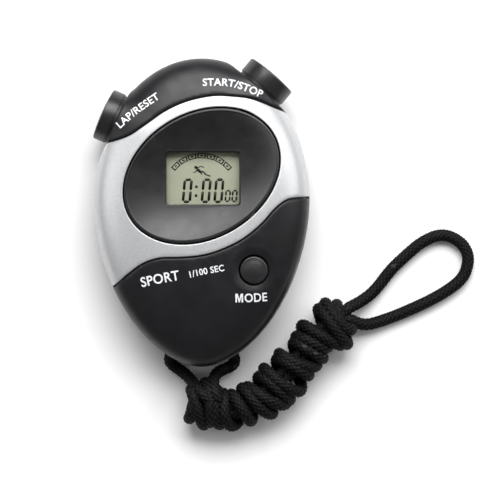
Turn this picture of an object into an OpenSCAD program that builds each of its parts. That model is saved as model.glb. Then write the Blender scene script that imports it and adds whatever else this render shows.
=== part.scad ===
// Handheld digital stopwatch with a neck lanyard, lying on its back.
// Millimetres. Z = 0 is the flat rear face, +Y is the hood, +X is the START/STOP side.

/* [Case] */
// half the width of the case at its widest line
case_half_w = 29.1; // [20:0.1:45]
// distance of the widest line above the case centre
widest_y = 3; // [-5:0.5:10]
// length of the upper half, from the widest line
upper_len = 38.5; // [25:0.5:60]
// length of the lower half, from the widest line
lower_len = 44.5; // [25:0.5:70]
// height of the parting line, which is also the height of the side buttons
parting_z = 10.5; // [7:0.25:15]
// rise of the front dome above the parting line
front_rise = 10.5; // [6:0.25:15]
// thickness of the front and rear walls
wall = 2.4; // [1.5:0.1:3.5]
// thickness of the silver panel
panel_t = 1.3; // [0.8:0.1:2]
// width of the grooves around the silver panel
groove_w = 0.3; // [0.1:0.05:0.8]

/* [Display] */
// half length of the oval bezel
bezel_a = 22.3; // [15:0.1:26]
// half width of the oval bezel
bezel_b = 16.8; // [12:0.1:20]
// tilt of the oval bezel
bezel_tilt = 30; // [0:1:45]
// window width
window_w = 19.4; // [12:0.1:26]
// window height
window_h = 13.8; // [8:0.1:18]

/* [Buttons] */
// radius of the two crown buttons
crown_r = 7.1; // [4:0.1:9]
// travel of the crown buttons
crown_travel = 0.7; // [0.4:0.05:1.5]
// height of the START/STOP cap
start_cap_h = 3.4; // [2:0.1:6]
// height of the LAP/RESET cap
lap_cap_h = 2.7; // [2:0.1:6]
// direction in which the START/STOP button points
start_angle = 49.5; // [20:0.5:80]
// direction in which the LAP/RESET button points
lap_angle = 156; // [110:0.5:170]
// radius of the MODE button
mode_r = 3.75; // [2.5:0.05:6]
// travel of the MODE button
mode_travel = 0.8; // [0.4:0.05:1.5]

/* [Battery] */
// radius of the battery cap
cap_r = 7.9; // [7:0.1:10]

/* [Lanyard] */
// cord diameter
cord_d = 3.2; // [2:0.1:5]
// usual radius of the wound bundle
bundle_r = 5.9; // [4:0.1:8]

/* [Hidden] */
run = 0.05;              // working gap between parts that fit together
segs = 72;               // sides of the case outline
dome_steps = 8;          // rings of a front dome
dome_sweep = 84;         // degrees of the shoulder curve that the rings cover
back_steps = 6;          // rings of the rear bowl
dome_pow = 3;            // how square the front dome's shoulder is
back_pow = 2.2;          // how square the rear bowl's shoulder is
back_flat = 0.72;        // share of the outline that is flat on the back
upper_pow = 2;           // outline power above the widest line
lower_pow = 1.81;        // outline power below it
mean_r = 35;             // mean half size, used to turn a depth into a scale
cavity_in = 1 - wall / mean_r;
inlay_in = 1 - panel_t / mean_r;
bezel_at = [0.2, 9.7];
window_at = [0.5, 9];
far = 60;                // reaches past the case from anywhere inside it
tall = 30;               // reaches past the case in Z
metal = "#b8b8b4";
black = "#1c1d1e";
charcoal = "#4a4a50";
pale = "#d8dadd";

// grooves above and below the silver panel, left to right
upper_groove = [
    [-34, 18.2], [-26.5, 18.6], [-22.5, 19.3], [-18.5, 20.8], [-14.5, 23.6], [-10, 26.8],
    [-5, 29.2], [0, 30.6], [5, 31.2], [11, 30.6], [16, 29.1], [22, 27.3], [34, 24]
];
lower_groove = [
    [-34, -27.5], [-23, -19.5], [-19.5, -16.6], [-15.5, -13.8], [-11, -12.3], [-5.5, -12.1],
    [0, -11.6], [5, -10.2], [11, -7.3], [16, -3.3], [19.5, 0.6], [22.5, 3], [25.5, 3.8], [34, 4.2]
];

// display stack, from the board up
board_z = parting_z - run;   // top of the circuit board
board_t = 1.2;
board_in = 0.8;              // board outline as a share of the case outline
glass_w = 24;
glass_h = 18;
glass_t = 1.8;
glass_z = 13.4;
lens_z = 15.6;
lens_t = 1;
bezel_z = 15.5;              // underside of the bezel
dish_z = 17.4;               // floor of the bezel's dish
dish_ledge = 0.7;            // flat floor left around the window
lens_rim = 0.9;              // overlap of the lens under the bezel
frame_rim = 1.8;             // width of the frame around the glass
frame_ledge = 0.5;           // width of the ledge that the glass stands on
zebra_w = 2;
zebra_inset = 1.6;
bezel_lip = 1;               // width of the bezel's rim
lip_drop = 0.35;             // depth of the step inside that rim
dish_sides = 48;

// crown buttons: boss face centres, then sizes along the button's own axis
start_face = [16.2, 33.8];
lap_face = [-23.1, 25.2];
crown_gap = crown_travel + 0.1;
boss_len = 6;
spigot_r = crown_r - 0.8;
spigot_h = 1;
skirt_in = crown_r - 0.6;    // inside radius of the cap's skirt
cap_roof = 1.3;              // thickness of the cap's face
cap_edge = 0.4;
cap_crown = 0.6;             // rise of the domed face
stem_r = 2.4;
stem_len = 7.8;
flange_r = 3.6;
flange_t = 1;
spring_seat = 4.8;
spring_hole_r = 4.4;
coil_r = 3.4;
wire_r = 0.35;
coil_turns = 5;
spring_steps = 12;           // points to each turn
spring_sides = 6;            // sides of the wire
leaf_gap = crown_travel + run;
leaf_t = 0.3;                // contact leaf, bent from strip
leaf_w = 3;
leaf_reach = 2.4;
leaf_foot = 2.4;
cutout_w = 20;               // room that the board leaves around a boss and its stem
cutout_d = 16;
cutout_end = stem_len + crown_travel + 0.3;

// MODE button
mode_at = [14.1, -15.4];
mode_gap = 0.2;
mode_guide_r = 6;
guide_z = 15.25;             // lower end of the button's guide
mode_flange_r = 5;
mode_foot_z = 14.2;          // underside of the flange
mode_top_z = 20.2;
pad_foot_r = 4.6;            // rubber dome under the button
pad_foot_t = 0.8;
pad_neck_r = 2.8;
pad_hollow_r = 3.4;
pad_hollow_h = 1;

// screws
screw_at = [[-8, 32], [-22.3, 15], [22.5, -4], [-14, -24.5], [14, -24.5]];
screw_r = 1.15;
screw_head_r = 2.4;
screw_head_t = 1.6;
head_z = 4.2;                // where the head seats
slot_w = 2.6;
slot_t = 0.6;
slot_depth = 0.8;
well_r = 3.3;
post_r = 2.6;
pilot_r = 1.05;
screw_bite = 5;
board_screw_at = [[-15, -11], [15.5, -5], [-3, -22]];
board_screw_r = 0.9;
board_head_r = 1.7;
board_head_t = 0.9;
board_post_r = 1.9;
board_pilot_r = 0.85;
board_bite = 4;
notch_r = well_r + 0.5;

// parts on the board
chip_r = 5;
chip_rise = 1.4;
chip_dome_r = 8.4;
crystal_at = [-17.5, 0];
crystal_tilt = 8;
crystal_r = 1;
crystal_len = 6;
part_at = [[-15, 0], [-12.5, -4], [2, -16], [5, -16], [8, -20]];
part_size = [2, 1.2, 0.7];

// lanyard eye: a round channel bent around the nose
eye_at = [0, -43];
eye_z = 5.2;
eye_bend_r = 9.5;
eye_r = 1.95;
eye_wall_y = -30;            // the nose is solid beyond this line
eye_wall_z = 8.3;

// battery and beeper
cap_at = [0, -12];
cap_z = 0.15;
cap_floor = 1.9;
cap_top_z = 3.4;
cap_open_angle = -60;        // turned from locked to open
cap_wall = 1.6;
coin_w = 11;
coin_slot = 1.8;
coin_depth = 1;
lug_r = 9.2;
lug_z = 1.9;
lug_t = 0.9;
lug_sweep = 30;
collar_r = 11.5;
collar_z = 3.6;
seal_r = 0.5;
seal_z = 0.95;
cell_r = 5.8;
cell_h = 5.4;
cell_step_r = 0.9;           // the cell's narrower end
cell_step_h = 0.6;
strip_w = 3;                 // battery contacts
strip_t = 0.3;
strip_len = 7;
strip_foot = 0.4;
piezo_at = [0, 14];
piezo_r = 9.5;
piezo_plate_t = 0.25;
ceramic_r = 7.5;
ceramic_t = 0.2;
beep_spring_at = piezo_at + [0, 3];
beep_coil_r = 1.2;
beep_wire_r = 0.2;
beep_turns = 6;

// lanyard routes
cord_sides = 8;
bundle_sides = 12;
bundle_end = 0.75;           // share of the usual radius at the two ends
bundle_swell = 0.05;         // how far the turns swell and narrow
tail_route = [
    [-1.5, -46, 5.8], [-1.9, -44.8, 5], [-4.4, -43.4, 3.6], [-7.6, -41.4, 3], [-8.9, -39.6, 4.2],
    [-8, -37.9, 5.2], [-6, -35.6, 5.2], [-3.2, -34, 5.2], [0, -33.5, 5.2], [3.2, -34, 5.2],
    [6, -35.6, 5.2], [8, -37.9, 5.2], [8.9, -39.6, 4.2], [7.8, -41.6, 3], [5.2, -43, 3.4],
    [3.4, -44.4, 4.8], [3.1, -46, 5.8]
];
bundle_route = [
    [-4, -51.8, 6], [1.5, -52.3, 6], [8, -53.6, 6], [16, -50.2, 6], [23, -43.5, 6], [29, -36.5, 6],
    [33.5, -31.4, 6], [38, -28.6, 6]
];
loop_route = [
    [37.2, -26.9, 5], [39.2, -25.8, 4.6], [42, -24.7, 3.2], [46, -22, 1.9], [49, -18.5, 1.7],
    [53, -13.5, 1.7], [59, -8.5, 1.7], [65.5, -5.8, 1.7], [70.5, -7.8, 1.7], [72.7, -12, 1.7],
    [71, -17.5, 1.7], [66, -21.5, 1.7], [60, -24.8, 1.7], [53, -28, 1.7], [48, -29.9, 2],
    [44, -30.5, 3.2], [41.6, -30, 4.4], [39.9, -29.8, 5]
];

// --- outline and domes -------------------------------------------------------

function sgn(v) = v < 0 ? -1 : 1;
function half_len(a) = sin(a) < 0 ? lower_len : upper_len;
function out_pow(a) = sin(a) < 0 ? lower_pow : upper_pow;

// point of the case outline at parameter a, scaled by k about the widest line
function rim(a, k) = [
    k * case_half_w * sgn(cos(a)) * pow(abs(cos(a)), 2 / out_pow(a)),
    widest_y + k * half_len(a) * sgn(sin(a)) * pow(abs(sin(a)), 2 / out_pow(a))
];

// share of the way from the centre to the outline, 1 on the outline itself
function reach(p) = let (
    low = p[1] < widest_y,
    e = low ? lower_pow : upper_pow,
    len = low ? lower_len : upper_len
) pow(pow(abs(p[0]) / case_half_w, e) + pow(abs(p[1] - widest_y) / len, e), 1 / e);

// height of the front surface over a point
function front_z(p) =
    parting_z + front_rise * pow(max(0, 1 - pow(reach(p), dome_pow)), 1 / dome_pow);

// stack of scaled outlines: each level is [scale, z]
module outline_stack(levels) {
    n = len(levels);
    pts = [for (l = levels) for (i = [0 : segs - 1]) concat(rim(i * 360 / segs, l[0]), l[1])];
    sides = [
        for (k = [0 : n - 2]) for (i = [0 : segs - 1])
        let (j = (i + 1) % segs)
        [k * segs + i, (k + 1) * segs + i, (k + 1) * segs + j, k * segs + j]
    ];
    bottom = [[for (i = [0 : segs - 1]) i]];
    top = [[for (i = [0 : segs - 1]) n * segs - 1 - i]];
    polyhedron(pts, concat(sides, bottom, top), convexity = 4);
}

// front dome: rim scale, rise above the parting line, and how far it runs on below that line
module front_dome(edge, rise, foot = 0) {
    outline_stack(concat(
        foot > 0 ? [[edge, parting_z - foot]] : [],
        [
            for (i = [0 : dome_steps])
            let (t = 90 - i * dome_sweep / dome_steps)
            [
                edge * pow(sin(t), 2 / dome_pow),
                parting_z + rise * pow(cos(t), 2 / dome_pow)
            ]
        ]
    ));
}

// rear bowl: rim scale, floor height, and how far it runs on above the parting line
module rear_bowl(edge, floor_z, head = 0) {
    flat = back_flat * edge;
    outline_stack(concat(
        [
            for (i = [0 : back_steps])
            let (t = i * 90 / back_steps)
            [
                flat + (edge - flat) * pow(sin(t), 2 / back_pow),
                parting_z - (parting_z - floor_z) * pow(cos(t), 2 / back_pow)
            ]
        ],
        head > 0 ? [[edge, parting_z + head]] : []
    ));
}

// --- plan shapes -------------------------------------------------------------

function oval_r(a, half_l, half_w) =
    half_l * half_w / sqrt(pow(half_w * cos(a), 2) + pow(half_l * sin(a), 2));

module oval(grow) {
    polygon([
        for (i = [0 : segs - 1])
        let (a = i * 360 / segs, r = oval_r(a - bezel_tilt, bezel_a + grow, bezel_b + grow))
        bezel_at + r * [cos(a), sin(a)]
    ]);
}

// smooth line through points, k steps to each span
function pick(p, i) = p[max(0, min(len(p) - 1, i))];
function blend(a, b, c, d, t) =
    (2 * b + (c - a) * t + (2 * a - 5 * b + 4 * c - d) * t * t
        + (3 * b - a - 3 * c + d) * t * t * t) / 2;
function smooth_line(p, k) = concat(
    [
        for (i = [0 : len(p) - 2]) for (j = [0 : k - 1])
        blend(pick(p, i - 1), p[i], p[i + 1], pick(p, i + 2), j / k)
    ],
    [p[len(p) - 1]]
);

// silver panel seen from above, made narrower by inset on both long sides
module panel_plan(inset) {
    upper = [for (p = smooth_line(upper_groove, 3)) p - [0, inset]];
    lower = [for (p = smooth_line(lower_groove, 3)) p + [0, inset]];
    polygon(concat(lower, [for (i = [len(upper) - 1 : -1 : 0]) upper[i]]));
}

// --- helpers -----------------------------------------------------------------

// round tube along a route; r is one radius or a list with one for each point
module tube(route, r, sides) {
    n = len(route);
    pts = [
        for (k = [0 : n - 1])
        let (
            way = route[min(n - 1, k + 1)] - route[max(0, k - 1)],
            dir = way / norm(way),
            flat = cross(dir, [0, 0, 1]),
            side = flat / norm(flat),
            up = cross(side, dir),
            rk = is_list(r) ? r[k] : r
        )
        for (i = [0 : sides - 1])
        let (a = i * 360 / sides)
        route[k] + rk * (side * cos(a) + up * sin(a))
    ];
    skin = [
        for (k = [0 : n - 2]) for (i = [0 : sides - 1])
        let (j = (i + 1) % sides)
        each [
            [k * sides + i, k * sides + j, (k + 1) * sides + j],
            [k * sides + i, (k + 1) * sides + j, (k + 1) * sides + i]
        ]
    ];
    start = [[for (i = [sides - 1 : -1 : 0]) i]];
    end = [[for (i = [0 : sides - 1]) (n - 1) * sides + i]];
    polyhedron(pts, concat(skin, start, end), convexity = 6);
}

// compression spring standing on z = 0, with its end turns closed
module spring(coil_r, wire_r, height, turns) {
    steps = round(turns * spring_steps);
    rise = height - 2 * wire_r;
    tube([
        for (i = [0 : steps])
        let (
            a = i * 360 / spring_steps,
            u = min(1, max(0, (i / steps * turns - 0.75) / (turns - 1.5)))
        )
        [coil_r * cos(a), coil_r * sin(a), wire_r + rise * u]
    ], wire_r, spring_sides);
}

module box_at(p, w, d, z_low, z_high) {
    translate([p[0] - w / 2, p[1] - d / 2, z_low]) cube([w, d, z_high - z_low]);
}

module rod_at(p, r, z_low, z_high) {
    translate([p[0], p[1], z_low]) cylinder(r = r, h = z_high - z_low, $fn = 48);
}

// local +Z points out of the case along a crown button, 0 is the boss face
module at_crown(face, angle) {
    translate([face[0], face[1], parting_z]) rotate([0, 90, angle]) children();
}

module above_parting() {
    translate([-far, -far, parting_z]) cube([2 * far, 2 * far, tall]);
}

module below_parting() {
    translate([-far, -far, parting_z - tall]) cube([2 * far, 2 * far, tall]);
}

// --- crown buttons -----------------------------------------------------------

module crown_boss() {
    translate([0, 0, -boss_len]) cylinder(r = crown_r, h = boss_len, $fn = 64);
    translate([0, 0, -1]) cylinder(r = spigot_r, h = spigot_h + 1, $fn = 64);
}

module crown_bore() {
    translate([0, 0, -boss_len - 1]) cylinder(r = stem_r + 2 * run, h = boss_len + 2, $fn = 48);
    translate([0, 0, -spring_seat]) cylinder(r = spring_hole_r, h = spring_seat + 3, $fn = 48);
    // room for the pressed cap
    difference() {
        translate([0, 0, run]) cylinder(r = crown_r + 3 * run, h = boss_len, $fn = 64);
        cylinder(r = spigot_r, h = spigot_h, $fn = 64);
    }
}

module both_bosses() {
    at_crown(start_face, start_angle) crown_boss();
    at_crown(lap_face, lap_angle) crown_boss();
}

module both_bores() {
    at_crown(start_face, start_angle) crown_bore();
    at_crown(lap_face, lap_angle) crown_bore();
}

module crown_button(cap_h) {
    ceiling = crown_gap + cap_h - cap_roof;
    top = crown_gap + cap_h;
    // cap, a turned cup with a slightly domed face
    rotate_extrude($fn = 96) polygon(concat(
        [
            [0, ceiling],
            [skirt_in, ceiling],
            [skirt_in, crown_gap],
            [crown_r, crown_gap],
            [crown_r, top - cap_edge]
        ],
        [
            for (i = [0 : 4])
            let (t = i / 4)
            [(crown_r - cap_edge) * (1 - t), top + cap_crown * (1 - pow(1 - t, 2))]
        ]
    ));
    // stem with the flange that keeps it in
    translate([0, 0, -stem_len]) cylinder(r = stem_r, h = stem_len + ceiling + 0.2, $fn = 48);
    translate([0, 0, -boss_len - run - flange_t]) cylinder(r = flange_r, h = flange_t, $fn = 48);
}

module start_stop_button() {
    color(black) at_crown(start_face, start_angle) crown_button(start_cap_h);
}

module lap_reset_button() {
    color(black) at_crown(lap_face, lap_angle) crown_button(lap_cap_h);
}

module crown_spring(cap_h) {
    length = spring_seat + crown_gap + cap_h - cap_roof - 2 * run;
    translate([0, 0, run - spring_seat]) spring(coil_r, wire_r, length, coil_turns);
}

module start_spring() {
    color(metal) at_crown(start_face, start_angle) crown_spring(start_cap_h);
}

module lap_spring() {
    color(metal) at_crown(lap_face, lap_angle) crown_spring(lap_cap_h);
}

// --- case --------------------------------------------------------------------

module front_posts() {
    for (p = screw_at) rod_at(p, post_r, parting_z + run, parting_z + front_rise);
    for (p = board_screw_at) rod_at(p, board_post_r, parting_z, parting_z + front_rise);
    rod_at(mode_at, mode_guide_r, guide_z, parting_z + front_rise);
}

module front_shell() {
    color(charcoal) difference() {
        union() {
            difference() {
                union() {
                    front_dome(1, front_rise);
                    intersection() {
                        both_bosses();
                        above_parting();
                    }
                }
                translate([0, 0, parting_z - 1]) linear_extrude(tall) panel_plan(-groove_w / 2);
            }
            front_dome(inlay_in, front_rise - panel_t - run);
        }
        difference() {
            front_dome(cavity_in, front_rise - wall, 1);
            front_posts();
            both_bosses();
        }
        both_bores();
        translate([0, 0, parting_z + 1]) linear_extrude(tall) oval(0);
        rod_at(mode_at, mode_r + mode_gap, parting_z + 1, tall);
        for (p = screw_at) rod_at(p, pilot_r, parting_z - 1, parting_z + screw_bite);
        for (p = board_screw_at) rod_at(p, board_pilot_r, parting_z - 1, parting_z + board_bite);
    }
}

module silver_panel() {
    color(pale) difference() {
        intersection() {
            front_dome(1, front_rise);
            translate([0, 0, parting_z - 1]) linear_extrude(tall) panel_plan(groove_w / 2);
        }
        front_dome(inlay_in + run / mean_r, front_rise - panel_t, 1);
        translate([0, 0, parting_z - 1]) linear_extrude(tall) oval(0);
    }
}

module rear_solids() {
    for (p = screw_at) rod_at(p, well_r, -1, parting_z - run);
    rod_at(cap_at, collar_r, -1, collar_z);
    translate([-far, eye_wall_y - far, -1]) cube([2 * far, far, eye_wall_z + 1]);
    intersection() {
        both_bosses();
        below_parting();
    }
}

module rear_shell() {
    color(black) difference() {
        union() {
            rear_bowl(1, 0);
            intersection() {
                both_bosses();
                below_parting();
            }
        }
        difference() {
            rear_bowl(cavity_in, wall, 1);
            rear_solids();
        }
        both_bores();
        // eye for the lanyard, bent around the nose
        translate([eye_at[0], eye_at[1], eye_z])
            rotate_extrude($fn = 96) translate([eye_bend_r, 0]) circle(r = eye_r, $fn = 48);
        for (p = screw_at) rod_at(p, screw_r + 2 * run, -1, parting_z + 1);
        for (p = screw_at) rod_at(p, screw_head_r + 2 * run, -1, head_z);
        // battery opening, its lug groove and the two ways in for the lugs
        rod_at(cap_at, cap_r + 2 * run, -1, tall);
        rod_at(cap_at, lug_r + 2 * run, lug_z - run, lug_z + lug_t + run);
        for (a = [0, 180])
            translate([cap_at[0], cap_at[1], -1]) rotate([0, 0, a + cap_open_angle])
                lug_wedge(lug_r + run, lug_sweep + 4, 1 + lug_z + lug_t / 2);
    }
}

module case_screws() {
    color(metal) for (p = screw_at) {
        difference() {
            rod_at(p, screw_head_r, head_z - screw_head_t - run, head_z - run);
            box_at(p, slot_w, slot_t, 0, head_z - screw_head_t + slot_depth);
            box_at(p, slot_t, slot_w, 0, head_z - screw_head_t + slot_depth);
        }
        rod_at(p, screw_r, head_z - run - 0.2, parting_z + run);
        rod_at(p, pilot_r - run, parting_z, parting_z + screw_bite - 0.5);
    }
}

// --- display -----------------------------------------------------------------

function window_r(a, grow) = 1 / pow(
    pow(abs(cos(a)) / (window_w / 2 + grow), 6) + pow(abs(sin(a)) / (window_h / 2 + grow), 6),
    1 / 6
);

module bezel_dish() {
    low = [
        for (i = [0 : dish_sides - 1])
        let (a = i * 360 / dish_sides)
        concat(window_at + window_r(a, dish_ledge) * [cos(a), sin(a)], dish_z)
    ];
    lip = [
        for (i = [0 : dish_sides - 1])
        let (
            a = i * 360 / dish_sides,
            p = bezel_at + oval_r(a - bezel_tilt, bezel_a - bezel_lip, bezel_b - bezel_lip)
                * [cos(a), sin(a)]
        )
        concat(p, front_z(p) - lip_drop)
    ];
    high = [for (p = lip) [p[0], p[1], tall]];
    n = dish_sides;
    skin = [
        for (i = [0 : n - 1])
        let (j = (i + 1) % n)
        each [[i, n + i, n + j], [i, n + j, j], [n + i, 2 * n + i, 2 * n + j, n + j]]
    ];
    polyhedron(
        concat(low, lip, high),
        concat(skin, [[for (i = [0 : n - 1]) i]], [[for (i = [0 : n - 1]) 3 * n - 1 - i]]),
        convexity = 4
    );
}

module display_bezel() {
    color(black) difference() {
        intersection() {
            front_dome(1, front_rise);
            translate([0, 0, bezel_z]) linear_extrude(tall) oval(-groove_w / 2);
        }
        bezel_dish();
        box_at(window_at, window_w, window_h, bezel_z - 1, tall);
        lens_box(lens_rim + 2 * run, bezel_z - 1, lens_z + lens_t + run);
    }
}

module lens_box(rim, z_low, z_high) {
    box_at(window_at, window_w + 2 * rim, window_h + 2 * rim, z_low, z_high);
}

module display_lens() {
    color("#8fa0a8") lens_box(lens_rim, lens_z, lens_z + lens_t);
}

module glass_box(grow, z_low, z_high) {
    box_at(window_at, glass_w + 2 * grow, glass_h + 2 * grow, z_low, z_high);
}

module lcd_panel() {
    color("#aeae90") glass_box(0, glass_z, glass_z + glass_t);
}

module lcd_frame() {
    color("#e8e8e4") difference() {
        glass_box(frame_rim, board_z, glass_z + glass_t);
        glass_box(2 * run, glass_z - 2 * run, tall);
        glass_box(-frame_ledge, 0, tall);
    }
}

module zebra_strips() {
    color("#d9a0a8") for (s = [-1, 1])
        box_at(
            window_at + [0, s * (glass_h / 2 - zebra_inset)],
            glass_w - zebra_w,
            zebra_w,
            board_z,
            glass_z
        );
}

// --- MODE button and board ---------------------------------------------------

module mode_button() {
    color(charcoal) translate([mode_at[0], mode_at[1], 0]) rotate_extrude($fn = 72) polygon([
        [0, mode_foot_z],
        [mode_flange_r, mode_foot_z],
        [mode_flange_r, guide_z - run],
        [mode_r, guide_z - run],
        [mode_r, mode_top_z - 0.4],
        [mode_r - 0.4, mode_top_z],
        [mode_r * 0.6, mode_top_z + 0.2],
        [0, mode_top_z + 0.3]
    ]);
}

module mode_rubber_pad() {
    color("#55565a") translate([mode_at[0], mode_at[1], 0]) rotate_extrude($fn = 48) polygon([
        [0, board_z + pad_hollow_h],
        [pad_hollow_r - 1.4, board_z + pad_hollow_h],
        [pad_hollow_r, board_z],
        [pad_foot_r, board_z],
        [pad_foot_r, board_z + pad_foot_t],
        [pad_neck_r, mode_foot_z - run],
        [0, mode_foot_z - run]
    ]);
}

module board_cutout() {
    translate([-cutout_w / 2, -cutout_d / 2, -cutout_end]) cube([cutout_w, cutout_d, tall]);
}

module circuit_board() {
    color("#2f6b3a") difference() {
        translate([0, 0, board_z - board_t])
            linear_extrude(board_t - run)
                polygon([for (i = [0 : segs - 1]) rim(i * 360 / segs, board_in)]);
        for (p = board_screw_at) rod_at(p, board_screw_r + 2 * run, 0, tall);
        for (p = screw_at) rod_at(p, notch_r, 0, tall);
        at_crown(start_face, start_angle) board_cutout();
        at_crown(lap_face, lap_angle) board_cutout();
    }
}

module board_screws() {
    color(metal) for (p = board_screw_at) {
        rod_at(p, board_head_r, board_z - board_t - board_head_t, board_z - board_t - run);
        rod_at(p, board_screw_r, board_z - board_t - 0.2, parting_z);
        rod_at(p, board_pilot_r - run, parting_z - 0.1, parting_z + board_bite - 0.3);
    }
}

module chip_cover() {
    color("#101010") translate([window_at[0], window_at[1], board_z + run]) intersection() {
        translate([0, 0, chip_rise - chip_dome_r]) sphere(r = chip_dome_r, $fn = 64);
        cylinder(r = chip_r, h = 2 * chip_rise, $fn = 64);
    }
}

module quartz_crystal() {
    color(metal) translate([crystal_at[0], crystal_at[1], board_z + crystal_r + run])
        rotate([-90, 0, crystal_tilt]) cylinder(r = crystal_r, h = crystal_len, $fn = 32);
}

module chip_parts() {
    color("#b09060") for (p = part_at)
        box_at(p, part_size[0], part_size[1], board_z, board_z + part_size[2]);
}

module leaf(face, angle) {
    at_crown(face, angle) {
        translate([-leaf_reach, -leaf_w / 2, -stem_len - leaf_gap - leaf_t])
            cube([leaf_reach, leaf_w, leaf_t]);
        translate([-leaf_t, -leaf_w / 2, -stem_len - leaf_gap - leaf_foot])
            cube([leaf_t, leaf_w, leaf_foot]);
    }
}

module start_contact() {
    color(metal) leaf(start_face, start_angle);
}

module lap_contact() {
    color(metal) leaf(lap_face, lap_angle);
}

// --- battery and beeper ------------------------------------------------------

// slice of a disc around local +X
module lug_wedge(r, sweep, h) {
    intersection() {
        cylinder(r = r, h = h, $fn = 96);
        linear_extrude(h) polygon([
            [0, 0],
            2 * r * [cos(sweep / 2), -sin(sweep / 2)],
            2 * r * [cos(sweep / 2), sin(sweep / 2)]
        ]);
    }
}

module battery_cap() {
    color(black) difference() {
        union() {
            rod_at(cap_at, cap_r, cap_z, cap_top_z);
            for (a = [0, 180])
                translate([cap_at[0], cap_at[1], lug_z]) rotate([0, 0, a])
                    lug_wedge(lug_r, lug_sweep, lug_t);
        }
        rod_at(cap_at, cap_r - cap_wall, cap_floor, tall);
        box_at(cap_at, coin_w, coin_slot, -1, cap_z + coin_depth);
        // groove for the rubber ring
        translate([cap_at[0], cap_at[1], seal_z]) rotate_extrude($fn = 96)
            translate([cap_r, 0]) circle(r = seal_r + run, $fn = 24);
    }
}

module battery_seal() {
    color("#202020") translate([cap_at[0], cap_at[1], seal_z]) intersection() {
        rotate_extrude($fn = 96) translate([cap_r, 0]) circle(r = seal_r, $fn = 24);
        translate([0, 0, -1]) cylinder(r = cap_r + run, h = 2, $fn = 96);
    }
}

module battery() {
    color(metal) {
        rod_at(cap_at, cell_r, cap_floor + run, cap_floor + cell_h - cell_step_h);
        rod_at(cap_at, cell_r - cell_step_r, cap_floor + run, cap_floor + cell_h);
    }
}

module battery_contact_neg() {
    cell_top = cap_floor + cell_h + run;
    color(metal) {
        box_at(cap_at, strip_w, strip_len, cell_top, cell_top + strip_t);
        box_at(
            cap_at + [0, (strip_len - strip_foot) / 2],
            strip_w,
            strip_foot,
            cell_top,
            board_z - board_t - run
        );
    }
}

module battery_contact_pos() {
    color(metal) box_at(
        cap_at + [cell_r + strip_t, 0],
        strip_t,
        strip_w,
        collar_z + 0.2,
        board_z - board_t - run
    );
}

module piezo_disc() {
    plate_top = wall + run + piezo_plate_t;
    color("#c9a64a") rod_at(piezo_at, piezo_r, wall + run, plate_top);
    color("#e6e2d8") rod_at(piezo_at, ceramic_r, plate_top, plate_top + ceramic_t);
}

module piezo_spring() {
    foot = wall + piezo_plate_t + ceramic_t + 2 * run;
    color(metal) translate([beep_spring_at[0], beep_spring_at[1], foot])
        spring(beep_coil_r, beep_wire_r, board_z - board_t - run - foot, beep_turns);
}

// --- lanyard -----------------------------------------------------------------

module lanyard_tail() {
    color(black) tube(smooth_line(tail_route, 2), cord_d / 2, cord_sides);
}

module lanyard_loop() {
    color(black) tube(smooth_line(loop_route, 2), cord_d / 2, cord_sides);
}

module lanyard_bundle() {
    route = smooth_line(bundle_route, 4);
    last = len(route) - 1;
    radii = [
        for (k = [0 : last])
        bundle_r * (k == 0 || k == last ? bundle_end : 0.97 + bundle_swell * cos(k * 120))
    ];
    color(black) tube(route, radii, bundle_sides);
}

// --- assembly ----------------------------------------------------------------

front_shell();
silver_panel();
display_bezel();
display_lens();
rear_shell();
case_screws();
battery_cap();
battery_seal();
start_stop_button();
lap_reset_button();
start_spring();
lap_spring();
mode_button();
mode_rubber_pad();
circuit_board();
board_screws();
lcd_panel();
lcd_frame();
zebra_strips();
chip_cover();
quartz_crystal();
chip_parts();
piezo_disc();
piezo_spring();
battery();
battery_contact_pos();
battery_contact_neg();
start_contact();
lap_contact();
lanyard_tail();
lanyard_bundle();
lanyard_loop();
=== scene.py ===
"""Looks of the handheld stopwatch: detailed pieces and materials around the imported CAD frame.

Lengths in this file are millimetres until a mesh is made, and the axes are the CAD's.
"""

import math

import bmesh
import bpy
import numpy as np
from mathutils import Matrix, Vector
from mathutils.geometry import delaunay_2d_cdt
from mathutils.kdtree import KDTree


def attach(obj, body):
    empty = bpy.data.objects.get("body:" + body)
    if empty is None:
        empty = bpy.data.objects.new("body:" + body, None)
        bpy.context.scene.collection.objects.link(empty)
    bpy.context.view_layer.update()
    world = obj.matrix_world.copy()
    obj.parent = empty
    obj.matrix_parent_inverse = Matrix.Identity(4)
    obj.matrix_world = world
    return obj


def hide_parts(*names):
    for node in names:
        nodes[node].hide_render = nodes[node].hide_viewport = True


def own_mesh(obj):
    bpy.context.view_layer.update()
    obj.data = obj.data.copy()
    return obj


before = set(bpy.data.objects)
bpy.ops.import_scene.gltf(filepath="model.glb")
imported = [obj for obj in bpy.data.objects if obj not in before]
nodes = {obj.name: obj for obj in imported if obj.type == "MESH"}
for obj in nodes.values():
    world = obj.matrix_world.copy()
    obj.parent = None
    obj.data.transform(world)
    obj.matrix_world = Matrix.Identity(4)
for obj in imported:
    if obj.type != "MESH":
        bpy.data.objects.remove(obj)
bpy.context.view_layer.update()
scene = bpy.context.scene
MM = 0.001
TAU = 2 * math.pi

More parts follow.
